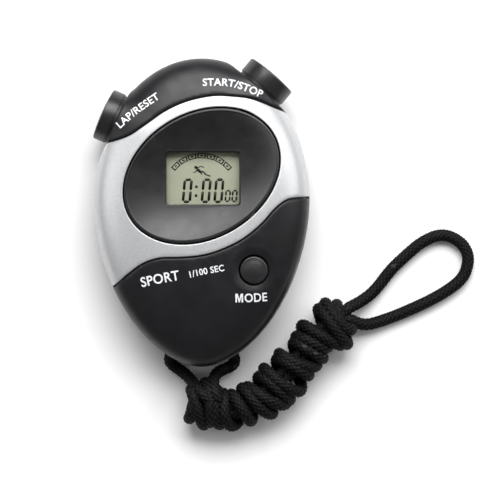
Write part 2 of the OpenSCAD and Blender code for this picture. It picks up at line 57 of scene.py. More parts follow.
# --- sizes that the CAD source sets ----------------------------------------------
HALF_W, WIDEST_Y, UPPER_LEN, LOWER_LEN = 29.1, 3.0, 38.5, 44.5
UPPER_POW, LOWER_POW = 2.0, 1.81
PART_Z, RISE, MEAN_R = 10.5, 10.5, 35.0
SKIN_T, INLAY_T = 2.4, 1.3
CAVITY, INLAY = 1 - SKIN_T / MEAN_R, 1 - INLAY_T / MEAN_R
DOME_POW, BACK_POW, BACK_FLAT = 3.0, 2.2, 0.72
GROOVE = 0.34
BEZEL_AT, BEZEL_A, BEZEL_B, BEZEL_TILT = (0.2, 9.7), 22.3, 16.8, math.radians(30)
WINDOW_AT, WINDOW_W, WINDOW_H = (0.5, 9.0), 19.4, 13.8
LENS_TOP, BEZEL_Z, DISH_Z, GLASS_TOP = 16.6, 15.5, 17.4, 15.2
CROWN_R, CROWN_GAP = 7.1, 0.8
START = ((16.2, 33.8), 49.5, 3.4)  # crown buttons: place, angle in degrees, height
LAP = ((-23.1, 25.2), 156.0, 2.7)
SEAM_BACK = {START: 0.8, LAP: 0.6}
MODE_AT, MODE_R = (14.1, -15.4), 3.75
SCREWS = [(-8, 32), (-22.3, 15), (22.5, -4), (-14, -24.5), (14, -24.5)]
HEAD_Z = 4.2
CAP_AT, CAP_R = (0.0, -12.0), 7.9
UPPER_GROOVE = [
    (-34, 18.2), (-26.5, 18.6), (-22.5, 19.3), (-18.5, 20.8), (-14.5, 23.6), (-10, 26.8),
    (-5, 29.2), (0, 30.6), (5, 31.2), (11, 30.6), (16, 29.1), (22, 27.3), (34, 24),
]
LOWER_GROOVE = [
    (-34, -27.5), (-23, -19.5), (-19.5, -16.6), (-15.5, -13.8), (-11, -12.3), (-5.5, -12.1),
    (0, -11.6), (5, -10.2), (11, -7.3), (16, -3.3), (19.5, 0.6), (22.5, 3), (25.5, 3.8), (34, 4.2),
]


# --- small tools -------------------------------------------------------------------
def smooth_line(points, k):
    """Catmull-Rom line through points, k steps to each span."""
    p = np.array(points, float)
    q = np.vstack([p[:1], p, p[-1:]])
    t = (np.arange(k) / k)[:, None]
    out = []
    for a, b, c, d in zip(q, q[1:], q[2:], q[3:]):
        out.append((2 * b + (c - a) * t + (2 * a - 5 * b + 4 * c - d) * t**2
                    + (3 * b - a - 3 * c + d) * t**3) / 2)
    return np.vstack(out + [p[-1:]])


def respaced(points, step, closed=False):
    """The same line with points a step apart."""
    p = np.array(points, float)
    if closed:
        p = np.vstack([p, p[:1]])
    run = np.concatenate([[0], np.cumsum(np.linalg.norm(np.diff(p, axis=0), axis=1))])
    n = max(2, int(round(run[-1] / step)))
    at = np.linspace(0, run[-1], n + 1)
    out = np.column_stack([np.interp(at, run, p[:, i]) for i in range(p.shape[1])])
    return out[:-1] if closed else out


def line_length(p):
    return float(np.linalg.norm(np.diff(p, axis=0), axis=1).sum())


def softened(profile, r, n=3):
    """An open profile with its inner corners rounded by r."""
    p = [np.array(x, float) for x in profile]
    out = [p[0]]
    for a, b, c in zip(p, p[1:], p[2:]):
        u, v = a - b, c - b
        lu, lv = np.linalg.norm(u), np.linalg.norm(v)
        near = min(r, 0.45 * lu, 0.45 * lv)
        u, v = u / lu, v / lv
        for t in np.linspace(0, 1, n + 1):
            out.append((1 - t) ** 2 * (b + u * near) + 2 * t * (1 - t) * b + t**2 * (b + v * near))
    return out + [p[-1]]


def domed(r, z, rise, n):
    """Profile points from the rim (r, z) up over a low dome to the axis."""
    return [(r * (1 - u), z + rise * (1 - (1 - u) ** 2)) for u in np.linspace(0, 1, n)[1:]]


def turned(profile, n, at=(0, 0)):
    """Closed turned solid from (radius, height) pairs; a radius of 0 makes one point."""
    verts, faces, rings = [], [], []
    for r, z in profile:
        if r < 1e-6:
            rings.append([len(verts)] * n)
            verts.append((0, 0, z))
        else:
            rings.append(list(range(len(verts), len(verts) + n)))
            verts += [(r * math.cos(TAU * i / n), r * math.sin(TAU * i / n), z) for i in range(n)]
    for a, b in zip(rings, rings[1:]):
        for i in range(n):
            j = (i + 1) % n
            f = list(dict.fromkeys([a[i], a[j], b[j], b[i]]))
            if len(f) > 2:
                faces.append(f)
    return np.array(verts, float) + (*at, 0), faces


def grid_faces(rows, cols, wrap_rows=False):
    """Quads over rows of points, each row closed on itself."""
    faces = []
    for i in range(rows if wrap_rows else rows - 1):
        a, b = i * cols, ((i + 1) % rows) * cols
        for j in range(cols):
            k = (j + 1) % cols
            faces.append((a + j, a + k, b + k, b + j))
    return faces


def capped(rows, cols):
    """Quads over rows of points, with a flat face over the first row and the last."""
    last = (rows - 1) * cols
    return grid_faces(rows, cols) + [list(range(cols))[::-1], [last + i for i in range(cols)]]


def lifted(p, z):
    """Plan points at one height, or at a height each."""
    return np.column_stack([p, np.broadcast_to(np.asarray(z, float), len(p))])


def prism(line, z0, z1):
    """A flat plan outline drawn out from z0 to z1."""
    line = np.array(line, float)
    return np.vstack([lifted(line, z) for z in (z0, z1)]), capped(2, len(line))


def frames_along(p):
    """Side and up at each point of a line, carried along it without twist."""
    t = np.gradient(p, axis=0)
    t /= np.linalg.norm(t, axis=1)[:, None]
    side = np.zeros_like(p)
    s = np.cross(t[0], (0, 0, 1.0))
    side[0] = s / np.linalg.norm(s)
    for i in range(1, len(p)):
        s = side[i - 1] - t[i] * (side[i - 1] @ t[i])
        side[i] = s / np.linalg.norm(s)
    return side, np.cross(side, t)


def tube(p, radius, sides):
    """Tube along p with flat ends; radius is one number or an array over points and sides."""
    side, up = frames_along(p)
    a = np.arange(sides) * TAU / sides
    ring = np.cos(a)[None, :, None] * side[:, None] + np.sin(a)[None, :, None] * up[:, None]
    return (p[:, None] + radius * ring).reshape(-1, 3), capped(len(p), sides)


def joined(*parts):
    verts, faces, base = [], [], 0
    for v, f in parts:
        verts.append(np.asarray(v, float))
        faces += [[base + i for i in face] for face in f]
        base += len(v)
    return np.vstack(verts), faces


def key_axis(key):
    """Unit vector out of the case along a crown button."""
    a = math.radians(key[1])
    return np.array([math.cos(a), math.sin(a), 0])


def to_crown(geometry, key):
    """Local +Z points out of the case along a crown button, as in the CAD."""
    v, faces = geometry
    axis = key_axis(key)
    out = np.outer(v[:, 2], axis)
    out += np.outer(v[:, 1], (-axis[1], axis[0], 0)) + np.outer(v[:, 0], (0, 0, -1))
    return out + (*key[0], PART_Z), faces


def from_key(p, key):
    """How far points lie out along a crown button's axis, and how far from it."""
    axis = key_axis(key)
    dx, dy = p[:, 0] - key[0][0], p[:, 1] - key[0][1]
    return (dx * axis[0] + dy * axis[1],
            np.hypot(dy * axis[0] - dx * axis[1], p[:, 2] - PART_Z))


def last_inside(inside, lo, hi, n, rounds=30):
    """For each of n rays, the largest share of the way that still passes the test."""
    lo, hi = np.full(n, lo), np.full(n, hi)
    for _ in range(rounds):
        mid = (lo + hi) / 2
        hit = inside(mid[:, None])
        lo, hi = np.where(hit, mid, lo), np.where(hit, hi, mid)
    return lo[:, None]


def piece(name, geometry, material, body="case", replaces=(), sharp=None, keep=True):
    """Mesh object from millimetres, riding on its body unless it is only a cutter."""
    verts, faces = geometry
    me = bpy.data.meshes.new(name)
    me.from_pydata((np.asarray(verts, float) * MM).tolist(), [], [list(map(int, f)) for f in faces])
    me.update()
    bm = bmesh.new()
    bm.from_mesh(me)
    bmesh.ops.recalc_face_normals(bm, faces=bm.faces)
    bm.to_mesh(me)
    bm.free()
    me.polygons.foreach_set("use_smooth", [True] * len(me.polygons))
    if sharp:
        me.set_sharp_from_angle(angle=math.radians(sharp))
    ob = bpy.data.objects.new(name, me)
    scene.collection.objects.link(ob)
    me.materials.append(material)
    if keep:
        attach(ob, body)
        if replaces:
            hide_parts(*replaces)
    return ob


def cutter(name, geometry):
    return piece(name, geometry, black, keep=False)


def cut(ob, cutters):
    """Takes the cutters out of a piece and applies the result."""
    for c in cutters:
        m = ob.modifiers.new("cut", "BOOLEAN")
        m.operation, m.object, m.solver = "DIFFERENCE", c, "EXACT"
    made = bpy.data.meshes.new_from_object(
        ob.evaluated_get(bpy.context.evaluated_depsgraph_get()))
    ob.modifiers.clear()
    old = ob.data
    ob.data = made
    made.name = ob.name
    bpy.data.meshes.remove(old)
    for c in cutters:
        bpy.data.objects.remove(c)
    made.set_sharp_from_angle(angle=math.radians(40))


# --- materials ---------------------------------------------------------------------
class Nodes:
    """A material's node tree, with short ways to add and join nodes."""

    def __init__(self, name):
        self.mat = bpy.data.materials.new(name)
        self.mat.use_nodes = True
        self.tree = self.mat.node_tree

    def put(self, socket, value):
        """A value or a colour goes on the socket, and an output is linked to it."""
        if isinstance(value, bpy.types.NodeSocket):
            self.tree.links.new(value, socket)
        else:
            socket.default_value = (*value, 1) if isinstance(value, tuple) else value

    def add(self, kind, **values):
        """New node, with values for its own settings and for its sockets."""
        n = self.tree.nodes.new("ShaderNode" + kind)
        for key, value in values.items():
            if hasattr(n, key):
                setattr(n, key, value)
            else:
                self.put(n.inputs[key.replace("_", " ")], value)
        return n


def surface(name, colour, rough, mottle, wear_and_highlight=None, drift=None, bumps=(), wave=None, **sockets):
    """Principled material; sizes and depths are millimetres.

    mottle: size, low colour, high colour and the noise range between them.
    edge colour, the fifth argument: colour that pointed edges turn towards, and the pointiness
    range; rubbed wear on the plastics, a painted highlight on the crests of the cord's braid.
    drift: size, lowest and highest roughness.
    bumps: size, depth and strength of each relief, finest first.
    wave: size and depth of fine parallel lines.
    """
    m = Nodes(name)
    bsdf = m.tree.nodes["Principled BSDF"]
    for key, value in dict(Base_Color=colour, Roughness=rough, **sockets).items():
        m.put(bsdf.inputs[key.replace("_", " ")], value)
    coord = m.add("TexCoord").outputs["Object"]

    def noise(size, detail=3.0):
        return m.add("TexNoise", Scale=1 / (size * MM), Detail=detail, Roughness=0.55,
                     Vector=coord).outputs["Fac"]

    def ranged(value, lo, hi, to_lo, to_hi):
        return m.add("MapRange", Value=value, From_Min=lo, From_Max=hi, To_Min=to_lo,
                     To_Max=to_hi).outputs["Result"]

    def mixed(share, a, b):
        n = m.add("Mix", data_type="RGBA", Factor=share)
        m.put(n.inputs[6], a)
        m.put(n.inputs[7], b)
        return n.outputs[2]

    size, low, high, *span = mottle
    tint = mixed(ranged(noise(size), *(span or (0.35, 0.65)), 0, 1), low, high)
    # Pointed edges turn towards the edge colour: rubbed wear on the plastics, a painted highlight
    # on the crests of the cord's braid.
    if wear_and_highlight:
        edge = m.add("NewGeometry").outputs["Pointiness"]
        tint = mixed(ranged(edge, *wear_and_highlight[1:], 0, 0.6), tint, wear_and_highlight[0])
    m.put(bsdf.inputs["Base Color"], tint)
    if drift:
        m.put(bsdf.inputs["Roughness"], ranged(noise(drift[0], 4.0), 0.3, 0.7, *drift[1:]))
    heights = [(noise(size, 2.0), depth, *(rest or (1.0,))) for size, depth, *rest in bumps]
    if wave:
        lines = m.add("TexWave", bands_direction="X", Scale=1 / (wave[0] * MM * 3.2),
                      Distortion=2.0, Detail=2.0, Vector=coord)
        heights.append((lines.outputs["Fac"], wave[1], 0.6))
    relief = None
    for height, depth, strength in heights:
        n = m.add("Bump", Strength=strength, Distance=depth * MM, Height=height)
        if relief:
            m.put(n.inputs["Normal"], relief)
        relief = n.outputs["Normal"]
    if relief:
        m.put(bsdf.inputs["Normal"], relief)
    return m.mat


charcoal = surface(
    "charcoal_plastic", (0.008, 0.008, 0.0095), 0.36,
    (9, (0.0068, 0.0066, 0.0078), (0.01, 0.0098, 0.0116)), ((0.05, 0.05, 0.054), 0.56, 0.68),
    (3, 0.31, 0.42), [(0.28, 0.006), (7, 0.03, 0.4)], Specular_IOR_Level=0.34)
black = surface(
    "black_plastic", (0.006, 0.006, 0.0065), 0.42,
    (7, (0.004, 0.0041, 0.0043), (0.0075, 0.0075, 0.008)), ((0.04, 0.04, 0.043), 0.56, 0.68),
    (2.5, 0.38, 0.52), [(0.22, 0.012)], Specular_IOR_Level=0.4)
key_black = surface(
    "key_plastic", (0.009, 0.009, 0.01), 0.36, (5, (0.008, 0.008, 0.009), (0.013, 0.013, 0.0145)),
    None, (2, 0.28, 0.4), [(0.2, 0.006)], Specular_IOR_Level=0.5)
silver = surface(
    "silver_lacquer", (0.52, 0.525, 0.54), 0.4,
    (0.15, (0.46, 0.465, 0.475), (0.62, 0.625, 0.635), 0.42, 0.58),
    ((0.75, 0.75, 0.76), 0.54, 0.64), (0.2, 0.32, 0.46), [(0.12, 0.003, 0.5)],
    Metallic=0.5, Coat_Weight=0.2, Coat_Roughness=0.2)
bezel_gloss = surface(
    "bezel_plastic", (0.005, 0.005, 0.006), 0.4,
    (6, (0.0035, 0.0036, 0.004), (0.006, 0.006, 0.007)), ((0.05, 0.05, 0.054), 0.56, 0.68),
    (4, 0.33, 0.43), [(5, 0.02, 0.3)], Coat_Weight=0.1, Coat_Roughness=0.3)
# The cord's lighter colour on the crests of its braid is a painted highlight, not wear.
cord_black = surface(
    "black_cord", (0.005, 0.005, 0.0054), 0.6,
    (0.6, (0.0005, 0.0005, 0.0006), (0.003, 0.003, 0.0032), 0.44, 0.6),
    ((0.055, 0.055, 0.058), 0.52, 0.6), (0.6, 0.45, 0.8), [(0.07, 0.02, 0.7)],
    Specular_IOR_Level=0.13)
legend = surface("legend_ink", (0.8, 0.81, 0.83), 0.5,
                 (0.5, (0.72, 0.73, 0.76), (0.86, 0.87, 0.89)), bumps=[(0.12, 0.004)])
lcd_back = surface("display_glass", (0.38, 0.385, 0.3), 0.5,
                   (9, (0.355, 0.365, 0.28), (0.4, 0.405, 0.32)), bumps=[(0.09, 0.003, 0.5)],
                   Coat_Weight=0.2, Coat_Roughness=0.3)
lcd_ink = surface("display_segments", (0.006, 0.007, 0.006), 0.45,
                  (1.2, (0.005, 0.0055, 0.005), (0.009, 0.01, 0.009)), bumps=[(0.1, 0.002)])
plated = surface("plated_steel", (0.55, 0.55, 0.54), 0.3,
                 (1.5, (0.5, 0.5, 0.48), (0.62, 0.62, 0.61)),
                 drift=(0.4, 0.22, 0.42), bumps=[(0.15, 0.006)], Metallic=1.0)
spring_steel = surface("spring_steel", (0.5, 0.5, 0.5), 0.28,
                       (1, (0.42, 0.42, 0.43), (0.58, 0.58, 0.58)),
                       drift=(0.3, 0.2, 0.4), bumps=[(0.08, 0.004)], Metallic=1.0)
cell_steel = surface("cell_steel", (0.62, 0.61, 0.58), 0.24,
                     (3, (0.56, 0.55, 0.52), (0.68, 0.67, 0.64)),
                     drift=(1, 0.18, 0.34), wave=(0.12, 0.003), Metallic=1.0)
rubber = surface("seal_rubber", (0.02, 0.02, 0.02), 0.8,
                 (1.5, (0.014, 0.014, 0.014), (0.03, 0.03, 0.031)), bumps=[(0.15, 0.02)])
pad_rubber = surface("pad_rubber", (0.1, 0.1, 0.11), 0.7,
                     (2, (0.085, 0.085, 0.095), (0.12, 0.12, 0.13)), bumps=[(0.2, 0.015)])
zebra = surface("zebra_rubber", (0.55, 0.3, 0.33), 0.6, (1, (0.5, 0.26, 0.3), (0.6, 0.35, 0.38)),
                wave=(0.2, 0.02))
laminate = surface("board_laminate", (0.02, 0.12, 0.045), 0.4,
                   (1.4, (0.015, 0.1, 0.035), (0.03, 0.15, 0.06)), wave=(0.5, 0.008),
                   Coat_Weight=0.3, Coat_Roughness=0.2)
white = surface("white_plastic", (0.75, 0.75, 0.73), 0.5, (4, (0.7, 0.7, 0.68), (0.8, 0.8, 0.78)),
                bumps=[(0.3, 0.01)])
epoxy = surface("epoxy", (0.012, 0.012, 0.012), 0.25,
                (2, (0.008, 0.008, 0.008), (0.018, 0.018, 0.019)), bumps=[(1.2, 0.05)])
ceramic = surface("ceramic", (0.35, 0.24, 0.13), 0.45, (0.6, (0.3, 0.2, 0.1), (0.42, 0.3, 0.17)),
                  bumps=[(0.1, 0.01)])
brass = surface("brass", (0.7, 0.48, 0.16), 0.3, (3, (0.62, 0.42, 0.13), (0.76, 0.54, 0.2)),
                drift=(1, 0.22, 0.4), wave=(0.2, 0.004), Metallic=1.0)


def clear_window():
    """Clear sheet: mirrors more at flat angles and lets the rest straight through."""
    m = Nodes("clear_window")
    m.tree.nodes.clear()
    coord = m.add("TexCoord").outputs["Object"]
    ripple = m.add("TexNoise", Scale=160, Vector=coord).outputs["Fac"]
    bump = m.add("Bump", Distance=0.02 * MM, Strength=0.4, Height=ripple).outputs["Normal"]
    gloss = m.add("BsdfGlossy", Roughness=0.06, Normal=bump).outputs["BSDF"]
    clear = m.add("BsdfTransparent", Color=(0.96, 0.965, 0.95)).outputs["BSDF"]
    mix = m.add("MixShader", Fac=m.add("LayerWeight", Blend=0.1).outputs["Facing"])
    m.put(mix.inputs[1], clear)
    m.put(mix.inputs[2], gloss)
    m.add("OutputMaterial", Surface=mix.outputs["Shader"])
    return m.mat


# CAD nodes that keep their own shape, and those that a piece replaces
for material, names in (
        (clear_window(), "display_lens"), (lcd_back, "lcd_panel"), (white, "lcd_frame"),
        (plated, "case_screws board_screws quartz_crystal"), (laminate, "circuit_board"),
        (zebra, "zebra_strips"), (epoxy, "chip_cover"), (ceramic, "chip_parts"),
        (brass, "piezo_disc"), (cell_steel, "battery"), (pad_rubber, "mode_rubber_pad"),
        (spring_steel, "piezo_spring battery_contact_pos battery_contact_neg start_contact "
                       "lap_contact start_spring lap_spring"),
        (rubber, "battery_seal"), (charcoal, "front_shell"), (silver, "silver_panel"),
        (bezel_gloss, "display_bezel"), (black, "rear_shell battery_cap"),
        (key_black, "start_stop_button lap_reset_button mode_button"),
        (cord_black, "lanyard_tail lanyard_bundle lanyard_loop")):
    for name in names.split():
        nodes[name].data.materials.clear()
        nodes[name].data.materials.append(material)

# --- camera: straight down, framed as in the picture -------------------------------
VIEW_CENTRE, VIEW_WIDTH, VIEW_HEIGHT = (12.8, -9.8), 134.2, 700.0
camera_data = bpy.data.cameras.new("camera")
camera_data.sensor_width = 36
camera_data.lens = 36 * VIEW_HEIGHT / VIEW_WIDTH
camera_data.clip_start, camera_data.clip_end = 0.01, 10
camera = bpy.data.objects.new("camera", camera_data)
camera.location = (VIEW_CENTRE[0] * MM, VIEW_CENTRE[1] * MM, (PART_Z + VIEW_HEIGHT) * MM)
scene.collection.objects.link(camera)
scene.camera = camera

# --- lanyard -----------------------------------------------------------------------
CORD_D, RING_STEP, PATH_STEP = 3.2, 0.35, 0.5
EYE_AT, EYE_BEND, EYE_Z, EYE_R = (0.0, -43.0), 9.5, 5.2, 1.95
LOWEST = -4.25  # of the cord's middle, below the bundle's
bundle_line = smooth_line(
    [(-5.5, -51.2, 6), (-4, -51.8, 6), (1.5, -52.3, 6), (8, -53.6, 6), (16, -50.2, 6),
     (23, -43.5, 6), (29, -36.5, 6), (33.5, -31.4, 6), (38, -28.6, 6), (41, -27, 6)], 24)
bundle_run = np.concatenate(
    [[0], np.cumsum(np.linalg.norm(np.diff(bundle_line, axis=0), axis=1))])
BUNDLE_END = bundle_run[-1]
bundle_tangent = np.gradient(bundle_line, axis=0)
bundle_tangent /= np.linalg.norm(bundle_tangent, axis=1)[:, None]
WRAP_PITCH, WRAP_FIRST, WRAP_LAST = 6.7, 2.6, BUNDLE_END - 2.6
TURN_SIDE, TURN_UP = 4.45, 4.1
BULGES = ((0.18, BUNDLE_END - 6, 5), (0.08, 9, 4), (0.14, 0.5 * BUNDLE_END, 7))


def in_bundle(t, side, up):
    """Points at distance t along the bundle, offset to its left side and up."""
    c = np.column_stack([np.interp(t, bundle_run, bundle_line[:, i]) for i in range(3)])
    d = np.column_stack([np.interp(t, bundle_run, bundle_tangent[:, i]) for i in range(2)])
    c[:, :2] += np.column_stack([-d[:, 1], d[:, 0]]) * side[:, None]
    c[:, 2] += up
    return c


def wrap(phase, seed):
    """One strand's turns, from the far end of the bundle back to its near end."""
    lumps = np.random.RandomState(seed)
    turns = (WRAP_LAST - WRAP_FIRST) / WRAP_PITCH
    u = np.linspace(0, 1, int(turns * 48))
    knots = int(turns * 4)

    def drift(lo, hi):
        """Slow random change along the winding."""
        d = np.interp(u, np.linspace(0, 1, knots), lumps.uniform(lo, hi, knots))
        return np.convolve(np.pad(d, 8, "edge"), np.ones(17) / 17, "valid")

    angle = phase - TAU * turns * u
    swell, slip = drift(-1.0, 1.7), drift(-1.9, 1.9)
    t = WRAP_LAST + (WRAP_FIRST - WRAP_LAST) * u + slip
    fat = 1 + sum(k * np.exp(-((t - at) / width) ** 2) for k, at, width in BULGES)
    side = (TURN_SIDE + swell) * fat * np.cos(angle)
    up = (TURN_UP + 0.45 * swell) * np.sin(angle)
    return in_bundle(t, side, np.maximum(up, LOWEST)), angle


def spiral(t0, t1, r0, r1, a0, a1, n=26):
    """Turn inside the bundle that changes radius."""
    u = np.linspace(0, 1, n)
    a = a0 + (a1 - a0) * u
    r = r0 + (r1 - r0) * (u * u * (3 - 2 * u))
    return in_bundle(t0 + (t1 - t0) * u, r * np.cos(a), np.maximum(r * np.sin(a), -4.2))


def core(t0, t1, side, up, n=30):
    """Straight run inside the bundle."""
    return in_bundle(np.linspace(t0, t1, n), np.full(n, side), up)


def half_lanyard(strand, lane_out, lane_back, phase, seed, loop):
    """Eye to bundle, wound round it, then out to the top of the loop."""
    turns, angle = wrap(phase, seed)
    first, last = angle[0], angle[-1]
    out_a, back_a = (math.atan2(lane[1], lane[0]) for lane in (lane_out, lane_back))
    start_a = first + ((out_a - first) % TAU) + 0.3 * TAU
    end_a = last - ((last - back_a) % TAU) - 0.3 * TAU
    return np.vstack([
        strand,
        core(9, WRAP_LAST - 4, *lane_out),
        spiral(WRAP_LAST - 3.4, WRAP_LAST + 0.2, math.hypot(*lane_out), 4.3, start_a,
               first + 0.25)[1:],
        turns,
        spiral(WRAP_FIRST - 0.3, WRAP_FIRST + 3, 4.2, math.hypot(*lane_back), last - 0.25,
               end_a)[:-1],
        core(WRAP_FIRST + 4, BUNDLE_END - 1.5, *lane_back),
        loop,
    ])


eye_arc = [
    (EYE_AT[0] + EYE_BEND * math.sin(a), EYE_AT[1] + EYE_BEND * math.cos(a), EYE_Z)
    for a in np.radians(np.linspace(0, 57, 14))
]
left_strand = np.vstack([
    [(-x, y, z) for x, y, z in eye_arc],
    smooth_line([(-8.6, -38.6, 4.9), (-9.1, -40.0, 3.9), (-8.2, -41.3, 3.0), (-6.2, -42.6, 2.6),
                 (-4.2, -44.1, 3.4), (-2.6, -45.7, 6.0), (-1.2, -47.3, 9.0), (0.3, -49.0, 10.6),
                 (2.4, -50.9, 10.2), (4.4, -52.3, 8.4)], 6),
])
right_strand = np.vstack([
    eye_arc,
    smooth_line([(8.7, -38.7, 4.9), (9.4, -40.1, 4.0), (8.8, -41.4, 3.2), (6.9, -42.2, 3.0),
                 (5.0, -42.8, 3.8), (3.7, -43.9, 5.6), (3.1, -45.5, 7.6), (3.2, -47.6, 9.6),
                 (4.2, -49.8, 10.4), (5.8, -51.8, 8.4)], 6),
])
far_loop = smooth_line(
    [(39.2, -25.9, 5.2), (41.6, -25.0, 3.6), (45.7, -22.4, 2.0), (48.6, -19.3, 1.7),
     (51.1, -16.0, 1.7), (54.3, -12.8, 1.7), (60.0, -8.0, 1.7), (65.6, -5.9, 1.7),
     (70.5, -8.0, 1.7), (72.5, -11.2, 1.7), (72.4, -14.4, 1.7), (71.0, -17.7, 1.7),
     (67.2, -20.9, 1.7), (61.6, -24.1, 1.7), (54.3, -27.4, 1.7), (49.5, -29.2, 1.8),
     (45.1, -30.4, 2.7), (42.0, -30.0, 4.2)], 8)
middle = len(far_loop) // 2
first_half = half_lanyard(left_strand, (0.9, 1.2), (0.9, -1.2), 2.2, 5, far_loop[:middle])
second_half = half_lanyard(
    right_strand, (-0.9, 1.2), (-0.9, -1.2), 2.2 + math.pi, 8, far_loop[::-1][:-middle])
cord_path = respaced(np.vstack([first_half, second_half[::-1]]), PATH_STEP)
for _ in range(10):  # takes the corners out without moving the turns
    cord_path[1:-1] += 0.5 * ((cord_path[:-2] + cord_path[2:]) / 2 - cord_path[1:-1])
for _ in range(260):  # eases only what is bent tighter than the cord can bend
    bend = np.linalg.norm(cord_path[:-2] - 2 * cord_path[1:-1] + cord_path[2:], axis=1)
    tight = np.clip(bend / PATH_STEP**2 * CORD_D - 1, 0, 1)
    tight = np.convolve(tight, np.ones(21) / 5, "same").clip(0, 1)
    cord_path[1:-1] += 0.4 * tight[:, None] * (
        (cord_path[:-2] + cord_path[2:]) / 2 - cord_path[1:-1])
cord_path = respaced(cord_path, RING_STEP)
cord_path[:, 2] = np.maximum(cord_path[:, 2], 1.72)

# braid: carriers cross over and under each other, one crossing to each PICK of length
CORD_SIDES, CARRIERS, PICK, SUNK, BEAD = 40, 8, 1.45, 0.3, 0.44
around = (np.arange(CORD_SIDES) * TAU / CORD_SIDES * CARRIERS / TAU)[None, :]
along = (np.arange(len(cord_path)) * RING_STEP / PICK)[:, None]
u, v = around + along, around - along
over = (np.floor(u) + np.floor(v)) % 2 == 0
fu, fv = np.cos(np.pi * (u % 1 - 0.5)), np.cos(np.pi * (v % 1 - 0.5))
bead = np.where(over, fu**0.8 * (0.4 + 0.6 * fv), fv**0.8 * (0.4 + 0.6 * fu))
cord_r = CORD_D / 2 - SUNK + BEAD * bead
lanyard = piece("lanyard", tube(cord_path, cord_r[:, :, None], CORD_SIDES), cord_black,
                replaces=("lanyard_tail", "lanyard_bundle", "lanyard_loop"))

# --- case surfaces -----------------------------------------------------------------
CENTRE = np.array([0.0, WIDEST_Y])
KEYS_MEET = np.array([0.05, 14.9, PART_Z])  # the axes of both crown buttons pass through here
FILLET, FACE_ROUND, BOSS_REACH = 3.0, 0.5, 12.0


def reach(p):
    """Share of the way from the centre to the case outline."""
    low = p[:, 1] < WIDEST_Y
    e = np.where(low, LOWER_POW, UPPER_POW)
    length = np.where(low, LOWER_LEN, UPPER_LEN)
    return (np.abs(p[:, 0] / HALF_W) ** e + np.abs((p[:, 1] - WIDEST_Y) / length) ** e) ** (1 / e)


def soft_min(a, b, k):
    return np.minimum(a, b) - np.maximum(k - np.abs(a - b), 0) ** 2 / (4 * k)


def outside(p):
    """Signed distance, roughly, from the case with its two crown bosses."""
    r = np.maximum(reach(p[:, :2]), 1e-6)
    c = np.abs(p[:, 2] - PART_Z) / RISE
    flat = np.hypot(p[:, 0], p[:, 1] - WIDEST_Y)
    size = (r**DOME_POW + c**DOME_POW) ** (1 / DOME_POW)
    front = np.hypot(flat, p[:, 2] - PART_Z) * (1 - 1 / size)
    share = BACK_FLAT + (1 - BACK_FLAT) * (1 - np.minimum(c, 1) ** BACK_POW) ** (1 / BACK_POW)
    back = np.maximum(flat * (1 - share / r), -p[:, 2])
    d = np.where(p[:, 2] >= PART_Z, front, back)
    faces = []
    for key in (START, LAP):
        out, wide = from_key(p, key)
        d = soft_min(d, np.maximum(wide - CROWN_R, -out - BOSS_REACH), FILLET)
        faces.append(out + SEAM_BACK[key])
    for out in faces:
        d = -soft_min(-d, -out, FACE_ROUND)
    return d


def with_bosses(p):
    """Base dome points moved along lines from KEYS_MEET onto the case with its bosses."""
    near = np.zeros(len(p), bool)
    for key in (START, LAP):
        out, wide = from_key(p, key)
        near |= ((out > -BOSS_REACH) & (wide < CROWN_R + FILLET + 2)) | (out > -2)
    ray = p[near] - KEYS_MEET
    moved = p.copy()
    moved[near] = KEYS_MEET + ray * last_inside(
        lambda share: outside(KEYS_MEET + ray * share) < 0, 0.8, 1.7, len(ray))
    return moved


class Skin:
    """The dome or the bowl laid out flat, so that lengths along its profile are kept."""

    def __init__(self, share, height, rise):
        self.share, self.height, self.rise = share, height, rise
        step = np.hypot(np.diff(share) * MEAN_R, np.diff(height) * rise)
        self.run = np.concatenate([[0], np.cumsum(step)]) / MEAN_R
        self.rim = self.run[-1]
        share[-1], height[-1] = 1.0, 0.0

    def flat(self, plan):
        p = np.asarray(plan, float)
        s = np.maximum(reach(p), 1e-9)
        run = np.where(s < 1, np.interp(s, self.share, self.run), self.rim * s)
        return CENTRE + (p - CENTRE) * (run / s)[:, None]

    def at(self, q, scale=1.0, rise=None):
        r = np.maximum(reach(q), 1e-9)
        r = np.where(np.abs(r - self.rim) < 2e-3, self.rim, r)
        share = np.interp(r, self.run, self.share)
        xy = CENTRE + (q - CENTRE) * (share * scale / r)[:, None]
        rise = self.rise if rise is None else rise
        return lifted(xy, PART_Z + rise * np.interp(r, self.run, self.height))

    def off_rim(self, q):
        return (self.rim - reach(q)) * MEAN_R

    def trimmed(self, line, spare):
        """The part of a line that is on the case, with some to spare."""
        return line[reach(line) < self.rim + spare / MEAN_R]

    def rim_lines(self):
        """The rim, and two rows just inside it."""
        rows = [outline(self.rim - d / MEAN_R, 0.6) for d in (0.08, 0.2)]
        return outline(self.rim, 0.5), rows


sweep = np.linspace(0, math.pi / 2, 6001)
dome = Skin(np.sin(sweep) ** (2 / DOME_POW), np.cos(sweep) ** (2 / DOME_POW), RISE)
bowl = Skin(
    np.concatenate([[0], BACK_FLAT + (1 - BACK_FLAT) * np.sin(sweep) ** (2 / BACK_POW)]),
    np.concatenate([[1], np.cos(sweep) ** (2 / BACK_POW)]), -PART_Z)


def front_z(p):
    """Height of the plain front dome over plan points."""
    return PART_Z + RISE * np.maximum(0, 1 - reach(p) ** DOME_POW) ** (1 / DOME_POW)


